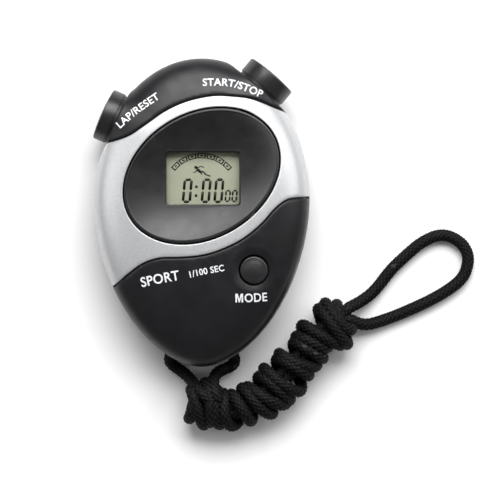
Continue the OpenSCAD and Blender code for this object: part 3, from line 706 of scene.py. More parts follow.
def outline(scale, step):
    """The case outline, scaled about its centre."""
    a = np.linspace(0, TAU, 1441)[:-1]
    low = np.sin(a) < 0
    e = np.where(low, LOWER_POW, UPPER_POW)
    length = np.where(low, LOWER_LEN, UPPER_LEN)
    x = HALF_W * np.sign(np.cos(a)) * np.abs(np.cos(a)) ** (2 / e)
    y = length * np.sign(np.sin(a)) * np.abs(np.sin(a)) ** (2 / e)
    p = respaced(CENTRE + scale * np.column_stack([x, y]), step, closed=True)
    return CENTRE + (p - CENTRE) * (scale / reach(p))[:, None]


def circle(at, r, n):
    a = np.arange(n) * TAU / n
    return np.column_stack([at[0] + r * np.cos(a), at[1] + r * np.sin(a)])


def oval(grow, n=240):
    """The bezel's outline, grown by some."""
    a = np.arange(n) * TAU / n
    b = a - BEZEL_TILT
    la, lb = BEZEL_A + grow, BEZEL_B + grow
    r = la * lb / np.sqrt((lb * np.cos(b)) ** 2 + (la * np.sin(b)) ** 2)
    return np.column_stack([BEZEL_AT[0] + r * np.cos(a), BEZEL_AT[1] + r * np.sin(a)])


def beside(line, off):
    """The same plan line moved to its left."""
    d = np.gradient(line, axis=0)
    d = d / np.linalg.norm(d, axis=1)[:, None]
    return line + off * np.column_stack([-d[:, 1], d[:, 0]])


def inside_loop(p, loop):
    """Which points lie inside a closed plan line."""
    x, y = p[:, 0], p[:, 1]
    hit = np.zeros(len(p), bool)
    for (x0, y0), (x1, y1) in zip(loop, np.roll(loop, -1, 0)):
        if y0 != y1:
            hit ^= ((y0 > y) != (y1 > y)) & (x < (x1 - x0) * (y - y0) / (y1 - y0) + x0)
    return hit


def off_line(p, line, closed=True):
    """Distance from points to a plan line, where they are near it."""
    ends = np.roll(line, -1, 0) if closed else line[1:]
    near = ((p > line.min(0) - 2) & (p < line.max(0) + 2)).all(1)
    q = p[near]
    d = np.full(len(q), 1e9)
    for a, b in zip(line, ends):
        ab = b - a
        t = np.clip(((q - a) @ ab) / (ab @ ab), 0, 1)
        d = np.minimum(d, np.hypot(*(q - a - t[:, None] * ab).T))
    best = np.full(len(p), 1e9)
    best[near] = d
    return best


def triangles(loops, lines, rows, rim, step, finer=()):
    """Delaunay triangles over the flat layout, with the loops and lines kept as edges."""
    verts, edges = [], []
    for p, closed in [(x, True) for x in loops] + [(x, False) for x in lines]:
        base = len(verts)
        verts += list(p)
        edges += [(base + i, base + i + 1) for i in range(len(p) - 1)]
        if closed:
            edges.append((base + len(p) - 1, base))
    kept = [np.vstack([np.array(verts), *rows])]
    lo, hi = kept[0].min(0), kept[0].max(0)
    for s, where in sorted([(step, None), *finer], key=lambda grid: grid[0]):
        x, y = np.arange(lo[0], hi[0], s), np.arange(lo[1], hi[1], s * 0.866)
        g = np.stack(np.meshgrid(x, y), -1)
        g[1::2, :, 0] += s / 2
        g = g.reshape(-1, 2)
        g = g[reach(g) < rim - 0.5 * s / MEAN_R]
        if where:
            g = g[where(g)]
        have = np.vstack(kept)
        tree = KDTree(len(have))
        for i, (a, b) in enumerate(have):
            tree.insert((a, b, 0), i)
        tree.balance()
        kept.append(g[[tree.find((a, b, 0))[2] > 0.6 * s for a, b in g]])
    out = delaunay_2d_cdt([Vector(p) for p in np.vstack(kept)], edges, [], 0, 1e-6)
    v = np.array([tuple(p) for p in out[0]])
    t = np.array([tuple(f) for f in out[2] if len(f) == 3])
    a, b, c = v[t[:, 0]], v[t[:, 1]], v[t[:, 2]]
    ab, ac = b - a, c - a
    mid = (a + b + c) / 3
    good = (np.abs(ab[:, 0] * ac[:, 1] - ab[:, 1] * ac[:, 0]) > 1e-7) & (reach(mid) < rim)
    return v, t[good], mid[good]


def solid(tri, top_zone, tops, low_zone, lows):
    """Closed solid: each zone has its own points above and below, with walls between zones."""
    verts, faces, base, maps = [], [], 0, {}
    sides = (("top", top_zone, tops), ("low", low_zone, lows))
    for side, zones, levels in sides:
        for z, points in levels.items():
            t = tri[zones == z]
            used = np.unique(t)
            index = np.full(len(points), -1)
            index[used] = base + np.arange(len(used))
            base += len(used)
            verts.append(points[used])
            maps[side, z] = index
            faces += index[t].tolist()
    edge = {}
    for k, (a, b, c) in enumerate(tri.tolist()):
        for i, j in ((a, b), (b, c), (c, a)):
            edge.setdefault((min(i, j), max(i, j)), []).append(k)
    for (i, j), (k, *other) in edge.items():
        if other:
            walls = [(maps[side, zones[k]], maps[side, zones[other[0]]])
                     for side, zones, _ in sides if zones[k] != zones[other[0]]]
        else:
            walls = [(maps["top", top_zone[k]], maps["low", low_zone[k]])]
        faces += [[int(a[i]), int(a[j]), int(b[j]), int(b[i])] for a, b in walls]
    return np.vstack(verts), faces


def normals_of(p, tri):
    n = np.zeros_like(p)
    f = np.cross(p[tri[:, 1]] - p[tri[:, 0]], p[tri[:, 2]] - p[tri[:, 0]])
    for k in range(3):
        np.add.at(n, tri[:, k], f)
    return n / np.maximum(np.linalg.norm(n, axis=1), 1e-12)[:, None]


def rolled(p, n, *edges):
    """Points sink along the normal near each (distance, radius), so that the edge is round."""
    for distance, r in edges:
        d = np.clip(distance, 0, r)
        p = p - n * (r - np.sqrt(r * r - (r - d) ** 2))[:, None]
    return p


def upright(inner, outer, distance, depth):
    """Inner points brought under the outer ones near an edge, so that its wall stands upright."""
    share = np.clip(2 - distance / 1.2, 0, 1)[:, None]
    return inner + share * (outer - (0, 0, depth) - inner)


def near_bosses(skin):
    """Test for the layout points that need a finer grid, because a boss stands there."""
    def test(q):
        ray = skin.at(q) - KEYS_MEET
        ray /= np.linalg.norm(ray, axis=1)[:, None]
        return np.any([ray @ key_axis(key) > math.cos(math.radians(31)) for key in (START, LAP)],
                      axis=0)
    return test


def boss_rows(skin, sign):
    """Layout points that land on rings round the end of each boss."""
    rings = [(h, CROWN_R) for h in (-0.12, -0.3, -0.55, -0.9, -1.4, -2.0, -2.7)]
    rings += [(0, CROWN_R - d) for d in (0.0, 0.12, 0.3, 0.6, 1.1)]
    turn = np.radians(np.linspace(2, 178, 60)) * sign
    out = []

    def under_skin(p):
        c = np.clip((p[:, 2] - PART_Z) / skin.rise, 0, 1)
        return reach(p[:, :2]) < np.interp(-c, -skin.height, skin.share)

    for h, r in rings:
        for key in (START, LAP):
            ring = np.column_stack([-r * np.sin(turn), r * np.cos(turn)])
            ray = to_crown((lifted(ring, h - SEAM_BACK[key]), None), key)[0] - KEYS_MEET
            share = last_inside(lambda s: under_skin(KEYS_MEET + ray * s), 0.3, 1.3, len(ray))
            out.append(skin.trimmed(skin.flat((KEYS_MEET + ray * share)[:, :2]), -0.15))
    return out


def zones_of(q, upper, lower):
    """1 above the upper line, -1 below the lower one, 0 between them."""
    above = q[:, 1] > np.interp(q[:, 0], upper[:, 0], upper[:, 1])
    below = q[:, 1] < np.interp(q[:, 0], lower[:, 0], lower[:, 1])
    return np.where(above, 1, np.where(below, -1, 0))


EDGE_R, RIM_R, HOLE_R, STEP, FINE_STEP = 0.34, 0.25, 0.2, 0.66, 0.33
ROWS = (0.05, 0.14, 0.26)
MODE_GAP, MODE_DISH, MODE_DISH_R, MODE_DISH_W = 0.22, 0.45, 6.2, 2.2
upper_line = respaced(smooth_line(UPPER_GROOVE, 16), 0.42)
lower_line = respaced(smooth_line(LOWER_GROOVE, 16), 0.42)
rim_loop, rim_rows = dome.rim_lines()


def front_lines(side):
    """Edges of the silver panel's two grooves, on one side of each, and rows beside them."""
    up, down = (dome.trimmed(dome.flat(beside(line, s * side * GROOVE / 2)), 0.6)
                for line, s in ((upper_line, 1), (lower_line, -1)))
    rows = [beside(up, side * d) for d in ROWS] + [beside(down, -side * d) for d in ROWS]
    return up, down, rows + rim_rows


# front shell: hood and lower part at full height, a recess for the silver panel between them
up, down, rows = front_lines(1)
mode_hole = dome.flat(circle(MODE_AT, MODE_R + MODE_GAP, 80))
hole = dome.flat(oval(0.0))
rows += [dome.flat(circle(MODE_AT, MODE_R + MODE_GAP + d, 80)) for d in ROWS]
rows = [dome.trimmed(r, -0.04) for r in rows] + boss_rows(dome, 1)
v, t, mid = triangles([rim_loop, mode_hole, hole], [up, down], rows, dome.rim, STEP,
                      [(FINE_STEP, near_bosses(dome))])
keep = ~(inside_loop(mid, mode_hole) | inside_loop(mid, hole))
t, mid = t[keep], mid[keep]
outer = with_bosses(dome.at(v))
edge_d = np.minimum.reduce([off_line(v, up, False), off_line(v, down, False),
                            off_line(v, mode_hole)])
outer = rolled(outer, normals_of(outer, t), (edge_d, EDGE_R), (dome.off_rim(v), RIM_R))
sunk = np.clip((MODE_DISH_R - np.hypot(*(outer[:, :2] - MODE_AT).T)) / MODE_DISH_W, 0, 1)
outer[:, 2] -= MODE_DISH * sunk**2 * (3 - 2 * sunk)  # a shallow dish round the MODE button
inlay, cavity = (
    upright(dome.at(v, scale, RISE - depth), outer, off_line(v, hole), depth)
    for scale, depth in ((INLAY, INLAY_T + 0.05), (CAVITY, SKIN_T)))
shell = solid(t, zones_of(mid, up, down), {1: outer, -1: outer, 0: inlay},
              np.zeros(len(t), int), {0: cavity})
front_shell = piece("front_shell_skin", shell, charcoal,
                    replaces=("front_shell",), sharp=50)

# silver panel
PANEL_GAP = 0.06
up, down, rows = front_lines(-1)
hole = dome.flat(oval(PANEL_GAP))
rows += [dome.flat(oval(PANEL_GAP + d)) for d in ROWS]
rows = [dome.trimmed(r, -0.04) for r in rows]
v, t, mid = triangles([rim_loop, hole], [up, down], rows, dome.rim, STEP)
t = t[(zones_of(mid, up, down) == 0) & ~inside_loop(mid, hole)]
outer = with_bosses(dome.at(v))
edge_d = np.minimum(off_line(v, up, False), off_line(v, down, False))
outer = rolled(outer, normals_of(outer, t), (edge_d, EDGE_R), (off_line(v, hole), HOLE_R),
               (dome.off_rim(v), RIM_R))
under = upright(dome.at(v, INLAY + 0.0014, RISE - INLAY_T), outer, off_line(v, hole), INLAY_T)
one_zone = np.zeros(len(t), int)
piece("silver_panel_skin", solid(t, one_zone, {0: outer}, one_zone, {0: under}), silver,
      replaces=("silver_panel",), sharp=50)

# rear shell, with screw wells, posts, the battery opening and a solid nose
WELL_R, POST_R, OPENING_R, COLLAR_R, COLLAR_Z = 2.5, 3.3, CAP_R + 0.1, 11.5, 3.6
NOSE_Y, NOSE_Z, FLOOR_Z, POST_Z = -30.0, 8.3, 2.4, 10.45
rim_loop, rows = bowl.rim_lines()
opening, collar = (bowl.flat(circle(CAP_AT, r, 120)) for r in (OPENING_R, COLLAR_R))
wells, posts = ([bowl.flat(circle(s, r, 48)) for s in SCREWS] for r in (WELL_R, POST_R))
nose = bowl.trimmed(bowl.flat(respaced([(-34, NOSE_Y), (34, NOSE_Y)], 0.5)), 0.6)
rows += [bowl.flat(circle(CAP_AT, OPENING_R + d, 120)) for d in ROWS]
rows += [bowl.flat(circle(s, WELL_R + d, 48)) for s in SCREWS for d in ROWS]
v, t, mid = triangles([rim_loop, opening, collar] + wells + posts, [nose],
                      rows + boss_rows(bowl, -1), bowl.rim, STEP + 0.1,
                      [(FINE_STEP + 0.03, near_bosses(bowl))])
keep = ~inside_loop(mid, opening)
t, mid = t[keep], mid[keep]
in_well, in_post = (np.any([inside_loop(mid, w) for w in loops], axis=0)
                    for loops in (wells, posts))
in_nose, in_collar = mid[:, 1] < nose[:, 1].mean(), inside_loop(mid, collar)
outer = with_bosses(bowl.at(v))
round_d = np.minimum.reduce([off_line(v, w) for w in wells + [opening]])
outer = rolled(outer, -normals_of(outer, t), (round_d, 0.25), (bowl.off_rim(v), RIM_R))
cavity = bowl.at(v, CAVITY, -(PART_Z - FLOOR_Z))
raised = {0: cavity, 1: lifted(outer[:, :2], POST_Z)}
for zone, z in ((2, NOSE_Z), (3, COLLAR_Z)):
    raised[zone] = lifted(cavity[:, :2], np.maximum(cavity[:, 2], z))
low = np.where(in_post, 1, np.where(in_nose, 2, np.where(in_collar, 3, 0)))
shell = solid(t, in_well.astype(int), {0: outer, 1: lifted(outer[:, :2], HEAD_Z)}, low, raised)
rear_shell = piece("rear_shell_skin", shell, black,
                   replaces=("rear_shell",), sharp=50)


def arc(at, r, a):
    return [(at[0] + r * math.cos(x), at[1] + r * math.sin(x)) for x in a]


def sector(at, r0, r1, a):
    """Plan outline between two radii over the angles a."""
    return arc(at, r0, a) + arc(at, r1, a[::-1])


LUG_SLOT_R, LUG_SLOT_Z = 9.3, (1.85, 2.85)
NOTCH_R, NOTCH_SWEEP, NOTCH_TURN, NOTCH_TOP = 9.25, 34, -60, 2.3
eye_verts = np.array([
    (EYE_AT[0] + (EYE_BEND + EYE_R * math.cos(q)) * math.cos(p),
     EYE_AT[1] + (EYE_BEND + EYE_R * math.cos(q)) * math.sin(p), EYE_Z + EYE_R * math.sin(q))
    for p in np.linspace(0, TAU, 145)[:-1] for q in np.arange(40) * TAU / 40])
z0, z1 = LUG_SLOT_Z
cutters = [
    cutter("eye_cutter", (eye_verts, grid_faces(144, 40, wrap_rows=True))),
    cutter("lug_cutter",
           turned([(0, z0), (LUG_SLOT_R, z0), (LUG_SLOT_R, z1), (0, z1)], 120, CAP_AT)),
]
for k in (0, 1):
    mid_a = NOTCH_TURN + 180 * k
    a = np.radians(np.linspace(mid_a - NOTCH_SWEEP / 2, mid_a + NOTCH_SWEEP / 2, 16))
    cutters.append(
        cutter(f"notch_cutter_{k}", prism([CAP_AT] + arc(CAP_AT, NOTCH_R, a), -1, NOTCH_TOP)))
cut(rear_shell, cutters)


# --- bezel, a dark dish around the window ------------------------------------------
def round_rect(w, h, r, n_side=44, n_corner=9):
    """Plan points round a rectangle about the window's centre, as many on each side."""
    x, y = w / 2 - r, h / 2 - r
    corners = []
    for k, (cx, cy) in enumerate([(x, -y), (x, y), (-x, y), (-x, -y)]):
        a = np.radians(np.linspace(-90 + 90 * k, 90 * k, n_corner))
        corners.append(np.column_stack([cx + r * np.cos(a), cy + r * np.sin(a)]))
    out = []
    for corner, after in zip(corners, corners[1:] + corners[:1]):
        a, b = corner[-1], after[0]
        out += [corner, a + (b - a) * (np.arange(1, n_side) / n_side)[:, None]]
    return np.vstack(out) + WINDOW_AT


def bezel_share(p, less):
    """Share of the way out to an oval that is less than the bezel's by some."""
    d = p - BEZEL_AT
    cos_t, sin_t = math.cos(BEZEL_TILT), math.sin(BEZEL_TILT)
    along, across = d[:, 0] * cos_t + d[:, 1] * sin_t, -d[:, 0] * sin_t + d[:, 1] * cos_t
    return np.hypot(along / (BEZEL_A - less), across / (BEZEL_B - less))


def oval_towards(points, grow):
    """Where lines from the window's centre through the points meet the oval."""
    d = points - WINDOW_AT
    d = d / np.linalg.norm(d, axis=1)[:, None]
    return WINDOW_AT + d * last_inside(
        lambda s: bezel_share(WINDOW_AT + d * s, -grow) < 1, 0.0, 40.0, len(d), 40)


EDGE_OUT, EDGE_SINK, EDGE_ROLL, LIP_W, LIP_STEP, DISH_CURVE = -0.42, 0.25, 0.1, 0.5, 0.16, 2.5
FRAME_W, REBATE_W, CORNER_R = 1.3, 2, 0.7
window = round_rect(WINDOW_W, WINDOW_H, CORNER_R)


def dish_z(p):
    """Height of the dish, a smooth bowl that reaches the lip at the oval."""
    lip = front_z(p) - EDGE_SINK - LIP_STEP
    return DISH_Z + (lip - DISH_Z) * np.minimum(bezel_share(p, 1), 1.05) ** DISH_CURVE


edge = oval_towards(window, EDGE_OUT)
bezel_rows = [lifted(edge, BEZEL_Z)]
bezel_rows += [lifted(edge, front_z(edge) - EDGE_SINK + z) for z in (-2.0, -1.0, -0.4)]
for d in (0.0, 0.01, 0.03, 0.06, 0.1, 0.3, LIP_W):
    p = oval_towards(window, EDGE_OUT - d)
    sink = EDGE_ROLL - math.sqrt(EDGE_ROLL**2 - (EDGE_ROLL - min(d, EDGE_ROLL)) ** 2)
    bezel_rows.append(lifted(p, front_z(p) - EDGE_SINK - sink))
frame_line = round_rect(WINDOW_W + FRAME_W, WINDOW_H + FRAME_W, 0.9)
lip = oval_towards(window, EDGE_OUT - LIP_W - 0.1)
for u in np.linspace(0, 1, 34):
    p = lip + (frame_line - lip) * u
    bezel_rows.append(lifted(p, dish_z(p)))
for grow, z in ((1.15, 0.01), (0.95, 0.02), (0.75, 0.0), (0.5, -0.07), (0.3, -0.18),
                (0.14, -0.33), (0.04, -0.52)):
    p = round_rect(WINDOW_W + grow, WINDOW_H + grow, CORNER_R + grow / 3)
    bezel_rows.append(lifted(p, dish_z(p) + z))
rebate = round_rect(WINDOW_W + REBATE_W, WINDOW_H + REBATE_W, 0.9)
for line, z in ((window, LENS_TOP + 0.04), (rebate, LENS_TOP + 0.04), (rebate, BEZEL_Z)):
    bezel_rows.append(lifted(line, z))
piece("display_bezel_skin",
      (np.vstack(bezel_rows), grid_faces(len(bezel_rows), len(window), wrap_rows=True)),
      bezel_gloss, replaces=("display_bezel",), sharp=55)

# --- crown buttons -----------------------------------------------------------------
STEM_R, STEM_LEN, FLANGE_R, FLANGE_Z = 2.4, 7.8, 3.6, (-7.05, -6.05)
SKIRT_R, SKIRT_Z, ROOF, CHAMFER = 6.5, 1.9, 1.3, 0.35
COLLAR_GROOVE, COLLAR_IN, COLLAR_TOP = 0.3, 4.1, 0.98
BORE_R, BORE_DEEP, SPRING_SEAT = 2.55, -10, 4.75
WIRE_R, COIL_R, COIL_TURNS, SEAT = 0.35, 3.4, 5, 4.8


def crown_button(key):
    """Cap with a domed face, its stem and its flange."""
    top, back = CROWN_GAP + key[2], CROWN_GAP - SEAM_BACK[key]
    ceiling = top - ROOF
    thin = CROWN_R - COLLAR_GROOVE + 0.06
    cap = softened([(0, ceiling), (SKIRT_R, ceiling), (SKIRT_R, SKIRT_Z), (thin, SKIRT_Z - 0.15),
                    (thin, back), (CROWN_R, back), (CROWN_R, top - 0.1),
                    (CROWN_R - CHAMFER, top + 0.1)], 0.1)
    cap += domed(CROWN_R - CHAMFER, top + 0.1, 0.5, 14)
    z0, z1 = FLANGE_Z
    stem = softened([(0, -STEM_LEN), (STEM_R, -STEM_LEN), (STEM_R, z0), (FLANGE_R, z0),
                     (FLANGE_R, z1), (STEM_R, z1), (STEM_R, ceiling - 0.02),
                     (0, ceiling - 0.02)], 0.2)
    return to_crown(joined(turned(cap, 144), turned(stem, 64)), key)


def coil(height):
    """Spring with a closed turn at each end."""
    turns = np.arange(COIL_TURNS * 40 + 1) / 40
    lift = np.clip((turns - 0.75) / (COIL_TURNS - 1.5), 0, 1)
    line = circle((0, 0), COIL_R, 40)[np.arange(len(turns)) % 40]
    z = 0.05 - SEAT + WIRE_R + (height - 2 * WIRE_R) * lift
    return tube(lifted(line, z), WIRE_R, 12)


bores = []
for key, name, node in ((START, "start_stop", "start"), (LAP, "lap_reset", "lap")):
    piece(f"{name}_cap", crown_button(key), key_black, f"{name}_key",
          (f"{name}_button",), sharp=50)
    foot, edge = -SEAM_BACK[key] - 1, CROWN_R - COLLAR_GROOVE
    ring = [(COLLAR_IN, foot), (COLLAR_IN, COLLAR_TOP), (edge, COLLAR_TOP), (edge, foot),
            (COLLAR_IN, foot)]
    piece(f"{name}_collar", to_crown(turned(softened(ring, 0.12), 96), key), black,
          sharp=50)
    bore = turned([(0, BORE_DEEP), (BORE_R, BORE_DEEP), (BORE_R, -SPRING_SEAT),
                   (COLLAR_IN, -SPRING_SEAT), (COLLAR_IN, 2), (0, 2)], 64)
    bores.append([cutter(f"{name}_bore_{k}", to_crown(bore, key)) for k in (0, 1)])
for shell, cutters in zip((front_shell, rear_shell), zip(*bores)):
    cut(shell, cutters)

# springs behind the caps, shortened with them
for key, name in ((START, "start"), (LAP, "lap")):
    height = SEAT + CROWN_GAP + key[2] - ROOF - 0.1
    ob = piece(f"{name}_coil", to_crown(coil(height), key), spring_steel,
               replaces=(f"{name}_spring",), sharp=50)
    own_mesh(ob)

# --- MODE button and its rubber dome -----------------------------------------------
MODE_FOOT, GUIDE_Z, MODE_TOP, BOARD_Z, MODE_FLANGE_R = 14.2, 15.25, 20.2, 10.45, 5
profile = softened([(0, MODE_FOOT), (MODE_FLANGE_R, MODE_FOOT), (MODE_FLANGE_R, GUIDE_Z - 0.05),
                    (MODE_R, GUIDE_Z - 0.05), (MODE_R, MODE_TOP - 2.2),
                    (MODE_R - 0.1, MODE_TOP - 2.0), (MODE_R - 0.1, MODE_TOP - 0.02),
                    (MODE_R - 1.1, MODE_TOP + 0.04)], 0.42, 6)
profile += domed(MODE_R - 1.1, MODE_TOP + 0.04, 0.26, 10)
piece("mode_key_top", turned(profile, 96, MODE_AT), key_black, "mode_key",
      ("mode_button",), sharp=50)
profile = softened([(0, BOARD_Z + 1), (2, BOARD_Z + 1), (3.4, BOARD_Z), (4.6, BOARD_Z),
                    (4.6, BOARD_Z + 0.8), (2.8, MODE_FOOT - 0.05), (0, MODE_FOOT - 0.05)], 0.3, 4)
pad = piece("mode_dome", turned(profile, 64, MODE_AT), pad_rubber,
            replaces=("mode_rubber_pad",), sharp=50)
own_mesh(pad)

# --- battery cap with a coin slot --------------------------------------------------
CAP_Z, CAP_FLOOR, CAP_TOP, CAP_WALL, SEAL_Z, SEAL_R = 0.15, 1.9, 3.4, 1.6, 0.95, 0.55
COIN_LONG, COIN_R, COIN_DEEP = 4.6, 0.9, 1.15
LUG_R, LUG_SWEEP, LUG_Z = (9.2, 7.7), 30, (1.9, 2.8)
groove = [(CAP_R - SEAL_R * math.cos(x), SEAL_Z + SEAL_R * math.sin(x))
          for x in np.linspace(-1.45, 1.45, 9)]
profile = softened([(0, CAP_Z), (CAP_R, CAP_Z), groove[0]], 0.22, 4)[:-1] + groove
profile += softened([groove[-1], (CAP_R, CAP_TOP), (CAP_R - CAP_WALL, CAP_TOP),
                     (CAP_R - CAP_WALL, CAP_FLOOR), (0, CAP_FLOOR)], 0.2, 3)[1:]
cap = piece("battery_cap_skin", turned(profile, 144, CAP_AT), black, "battery_hatch",
            ("battery_cap",))
slot_line = circle((0, 0), 1.0, 24)
slot_line = slot_line * COIN_R + lifted(np.sign(slot_line[:, :1]) * COIN_LONG, 0) + CAP_AT
cut(cap, [cutter("coin_cutter", prism(slot_line, -1, COIN_DEEP))])
for k in (0, 1):
    a = np.radians(np.linspace(-LUG_SWEEP / 2, LUG_SWEEP / 2, 12) + 180 * k)
    piece(f"battery_cap_lug_{k}", prism(sector(CAP_AT, *LUG_R, a), *LUG_Z), black,
          "battery_hatch", sharp=40)

# --- display figures ---------------------------------------------------------------
INK_Z = (GLASS_TOP + 0.005, GLASS_TOP + 0.035)
SLANT = math.tan(math.radians(5))
ARC_AT, ARC_IN, ARC_OUT, ARC_SWEEP, BOXES, BOX_LINE = (0.1, 5.4), 9.1, 10.5, 104, 7, 0.26


def bar(p, q, w, tip=0.5):
    """Straight bar with pointed ends."""
    p, q = np.array(p, float), np.array(q, float)
    d = (q - p) / np.linalg.norm(q - p)
    s = np.array([-d[1], d[0]]) * w / 2
    t = d * w * tip
    return [p, p + t - s, q - t - s, q, q - t + s, p + t + s]


def zero(x, y, w, h, stroke):
    """The figure 0 of a seven-segment display, standing on (x, y)."""
    gap, m = stroke * 0.16, h / 2
    l, r, t, b = stroke / 2, w - stroke / 2, h - stroke / 2, stroke / 2
    out = []
    for p, q in (((l, t), (r, t)), ((r, t), (r, m)), ((r, m), (r, b)), ((l, b), (r, b)),
                 ((l, m), (l, b)), ((l, t), (l, m))):
        p, q = np.array(p), np.array(q)
        d = (q - p) / np.linalg.norm(q - p) * gap
        out.append([c + (c[1] * SLANT + x, y) for c in bar(p + d, q - d, stroke)])
    return out


lit = []
for x, w, h, stroke, y in ((-5.25, 2.5, 6.6, 0.7, 2.5), (-0.2, 2.5, 6.6, 0.7, 2.5),
                           (3.2, 2.5, 6.6, 0.7, 2.5), (6.2, 1.55, 3.3, 0.46, 2.75),
                           (8.0, 1.55, 3.3, 0.46, 2.75)):
    lit += zero(x, y, w, h, stroke)
lit += [circle((-1.3, 6.87), 0.4, 12), circle((-1.38, 4.5), 0.4, 12)]
for k in range(BOXES):
    span = math.radians(ARC_SWEEP) / BOXES
    a0 = (k - BOXES / 2) * span + 0.014
    a1 = a0 + span - 0.028
    a = (a0 + a1) / 2
    for lo, hi, r0, r1 in ((a0, a1, ARC_IN, ARC_IN + BOX_LINE),
                           (a0, a1, ARC_OUT - BOX_LINE, ARC_OUT),
                           (a0, a0 + 0.034, ARC_IN, ARC_OUT), (a1 - 0.034, a1, ARC_IN, ARC_OUT),
                           (a - 0.03, a + 0.03, ARC_IN + 0.5, ARC_OUT - 0.5)):
        lit.append(sector(ARC_AT, r0, r1, math.pi / 2 - np.linspace(lo, hi, 5)))
# a plain running figure
lit.append(circle((-1.45, 12.05), 0.42, 12))
for p, q, w in (((-1.2, 11.75), (-0.1, 10.7), 0.75), ((-1.1, 11.9), (-0.1, 12.35), 0.26),
                ((-0.1, 12.35), (0.75, 12.0), 0.24), ((-1.1, 11.5), (-1.5, 10.8), 0.26),
                ((-1.5, 10.8), (-2.25, 10.75), 0.24), ((-0.3, 10.9), (0.65, 10.9), 0.4),
                ((0.6, 10.95), (1.15, 10.15), 0.34), ((-0.25, 10.75), (0.3, 10.2), 0.36),
                ((0.9, 10.25), (2.5, 9.65), 0.3)):
    lit.append(bar(p, q, w, 0.3))
piece("lcd_segments", joined(*(prism(line, *INK_Z) for line in lit)), lcd_ink)

# --- printed words, generic ones only ----------------------------------------------
LETTER_M = [(0, 0), (0, 1), (0.3, 1), (0.5, 0.36), (0.7, 1), (1, 1), (1, 0), (0.79, 0),
            (0.79, 0.76), (0.57, 0), (0.43, 0), (0.21, 0.76), (0.21, 0)]
M_WIDTH, M_SPACE, PRINT_GRID, PRINT_UP, PRINT_DOWN = 0.7, 0.84, 0.45, 0.035, 0.04


def letters(text, bold):
    """Flat outline mesh of a word in the built-in font, with its extent each way."""
    data = bpy.data.curves.new("word", "FONT")
    data.body, data.offset, data.resolution_u, data.space_character = text, bold, 4, 1.05
    ob = bpy.data.objects.new("word", data)
    scene.collection.objects.link(ob)
    me = bpy.data.meshes.new_from_object(ob.evaluated_get(bpy.context.evaluated_depsgraph_get()))
    bpy.data.objects.remove(ob)
    bpy.data.curves.remove(data)
    bm = bmesh.new()
    bm.from_mesh(me)
    bpy.data.meshes.remove(me)
    xs, ys = [v.co.x for v in bm.verts], [v.co.y for v in bm.verts]
    return bm, min(xs), max(xs), min(ys), max(ys)


def printed(name, text, path, height, lead=None, bold=0.018):
    """A word along a curved baseline on the front shell; lead is an outline put before it."""
    bm, x0, x1, _, _ = letters(text, bold)
    probe, _, _, y0, y1 = letters("H", bold)
    probe.free()
    if lead:
        x0 -= M_SPACE
        bm.faces.new([bm.verts.new((x0 + M_WIDTH * x, y0 + (y1 - y0) * y, 0)) for x, y in lead])
    line = respaced(smooth_line(path, 12), 0.1)
    length = line_length(line)
    sx, sy = length / (x1 - x0), height / (y1 - y0)
    for v in bm.verts:
        v.co = ((v.co.x - x0) * sx, (v.co.y - y0) * sy, 0)
    for axis, far in (((1, 0, 0), length), ((0, 1, 0), height)):
        for k in range(1, int(far / PRINT_GRID) + 1):
            bmesh.ops.bisect_plane(bm, geom=bm.verts[:] + bm.edges[:] + bm.faces[:], dist=1e-5,
                                   plane_co=[c * k * PRINT_GRID for c in axis], plane_no=axis)
    bmesh.ops.triangulate(bm, faces=bm.faces)
    step = length / (len(line) - 1)
    top = []
    for v in bm.verts:
        at = min(max(v.co.x / step, 0), len(line) - 1.001)
        i = int(at)
        d = line[i + 1] - line[i]
        p = line[i] + d * (at - i) + np.array([-d[1], d[0]]) / np.linalg.norm(d) * v.co.y
        _, place, _, _ = front_shell.ray_cast((p[0] * MM, p[1] * MM, 0.03), (0, 0, -1))
        top.append((p[0], p[1], place.z / MM))
    bm.verts.index_update()
    faces = [[v.index for v in f.verts] for f in bm.faces]
    n = len(top)
    rims = [(e.verts[0].index, e.verts[1].index) for e in bm.edges if len(e.link_faces) == 1]
    bm.free()
    verts = np.vstack([np.array(top) + (0, 0, PRINT_UP), np.array(top) - (0, 0, PRINT_DOWN)])
    faces += [[i + n for i in f][::-1] for f in faces] + [[i, j, j + n, i + n] for i, j in rims]
    piece(name, (verts, faces), legend, sharp=30)


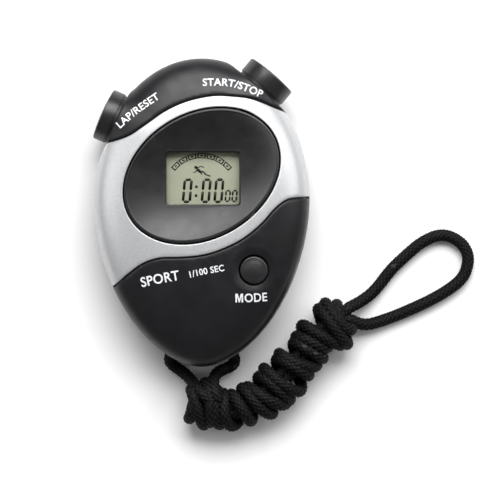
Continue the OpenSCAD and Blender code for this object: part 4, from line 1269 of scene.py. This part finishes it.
printed("legend_lap_reset", "LAP/RESET", [(-21.5, 22.3), (-16.8, 26.3), (-10.9, 30.3)], 2.0)
printed("legend_start_stop", "START/STOP",
        [(0.5, 33.6), (5.5, 33.7), (9.8, 33.0), (16.0, 30.5)], 2.0)
printed("legend_mode", "ODE", [(9.2, -24.0), (13.4, -23.95), (17.7, -23.7)], 2.3, LETTER_M)
printed("legend_sport", "SPORT", [(-15.7, -20.0), (-10.6, -18.9), (-5.6, -18.0)], 2.6)
printed("legend_resolution", "1/100 SEC", [(-2.8, -17.4), (1.8, -16.4), (6.3, -15.6)], 1.7)


# --- light, ground and background --------------------------------------------------
def softbox(name, at, aim, size, power):
    """Area light, in metres and watts."""
    data = bpy.data.lights.new(name, "AREA")
    data.shape = "RECTANGLE"
    data.size, data.size_y = size
    data.energy = power
    ob = bpy.data.objects.new(name, data)
    ob.location = at
    ob.rotation_mode = "QUATERNION"
    ob.rotation_quaternion = (Vector(aim) - Vector(at)).to_track_quat("-Z", "Y")
    scene.collection.objects.link(ob)


softbox("key", (0.05, 0.5, 0.62), (0.01, -0.01, 0), (0.8, 0.5), 9.8)
softbox("fill_left", (-0.6, 0.1, 0.45), (0, 0, 0), (0.4, 0.4), 0.9)
softbox("fill_right", (0.6, 0.2, 0.45), (0, 0, 0), (0.4, 0.4), 1.4)
world = bpy.data.worlds.new("studio")
scene.world = world
world.use_nodes = True
world.node_tree.nodes["Background"].inputs["Color"].default_value = (1, 1, 1, 1)
world.node_tree.nodes["Background"].inputs["Strength"].default_value = 0.2
scene.view_settings.view_transform = "Standard"

floor_mesh = bpy.data.meshes.new("floor")
floor_mesh.from_pydata([(-3, -3, 0), (3, -3, 0), (3, 3, 0), (-3, 3, 0)], [], [(0, 1, 2, 3)])
floor_mesh.materials.append(
    surface("floor", (0.93,) * 3, 0.7, (60, (0.92,) * 3, (0.94,) * 3)))
floor = bpy.data.objects.new("floor", floor_mesh)
floor.location = (0, 0, -0.03 * MM)
scene.collection.objects.link(floor)
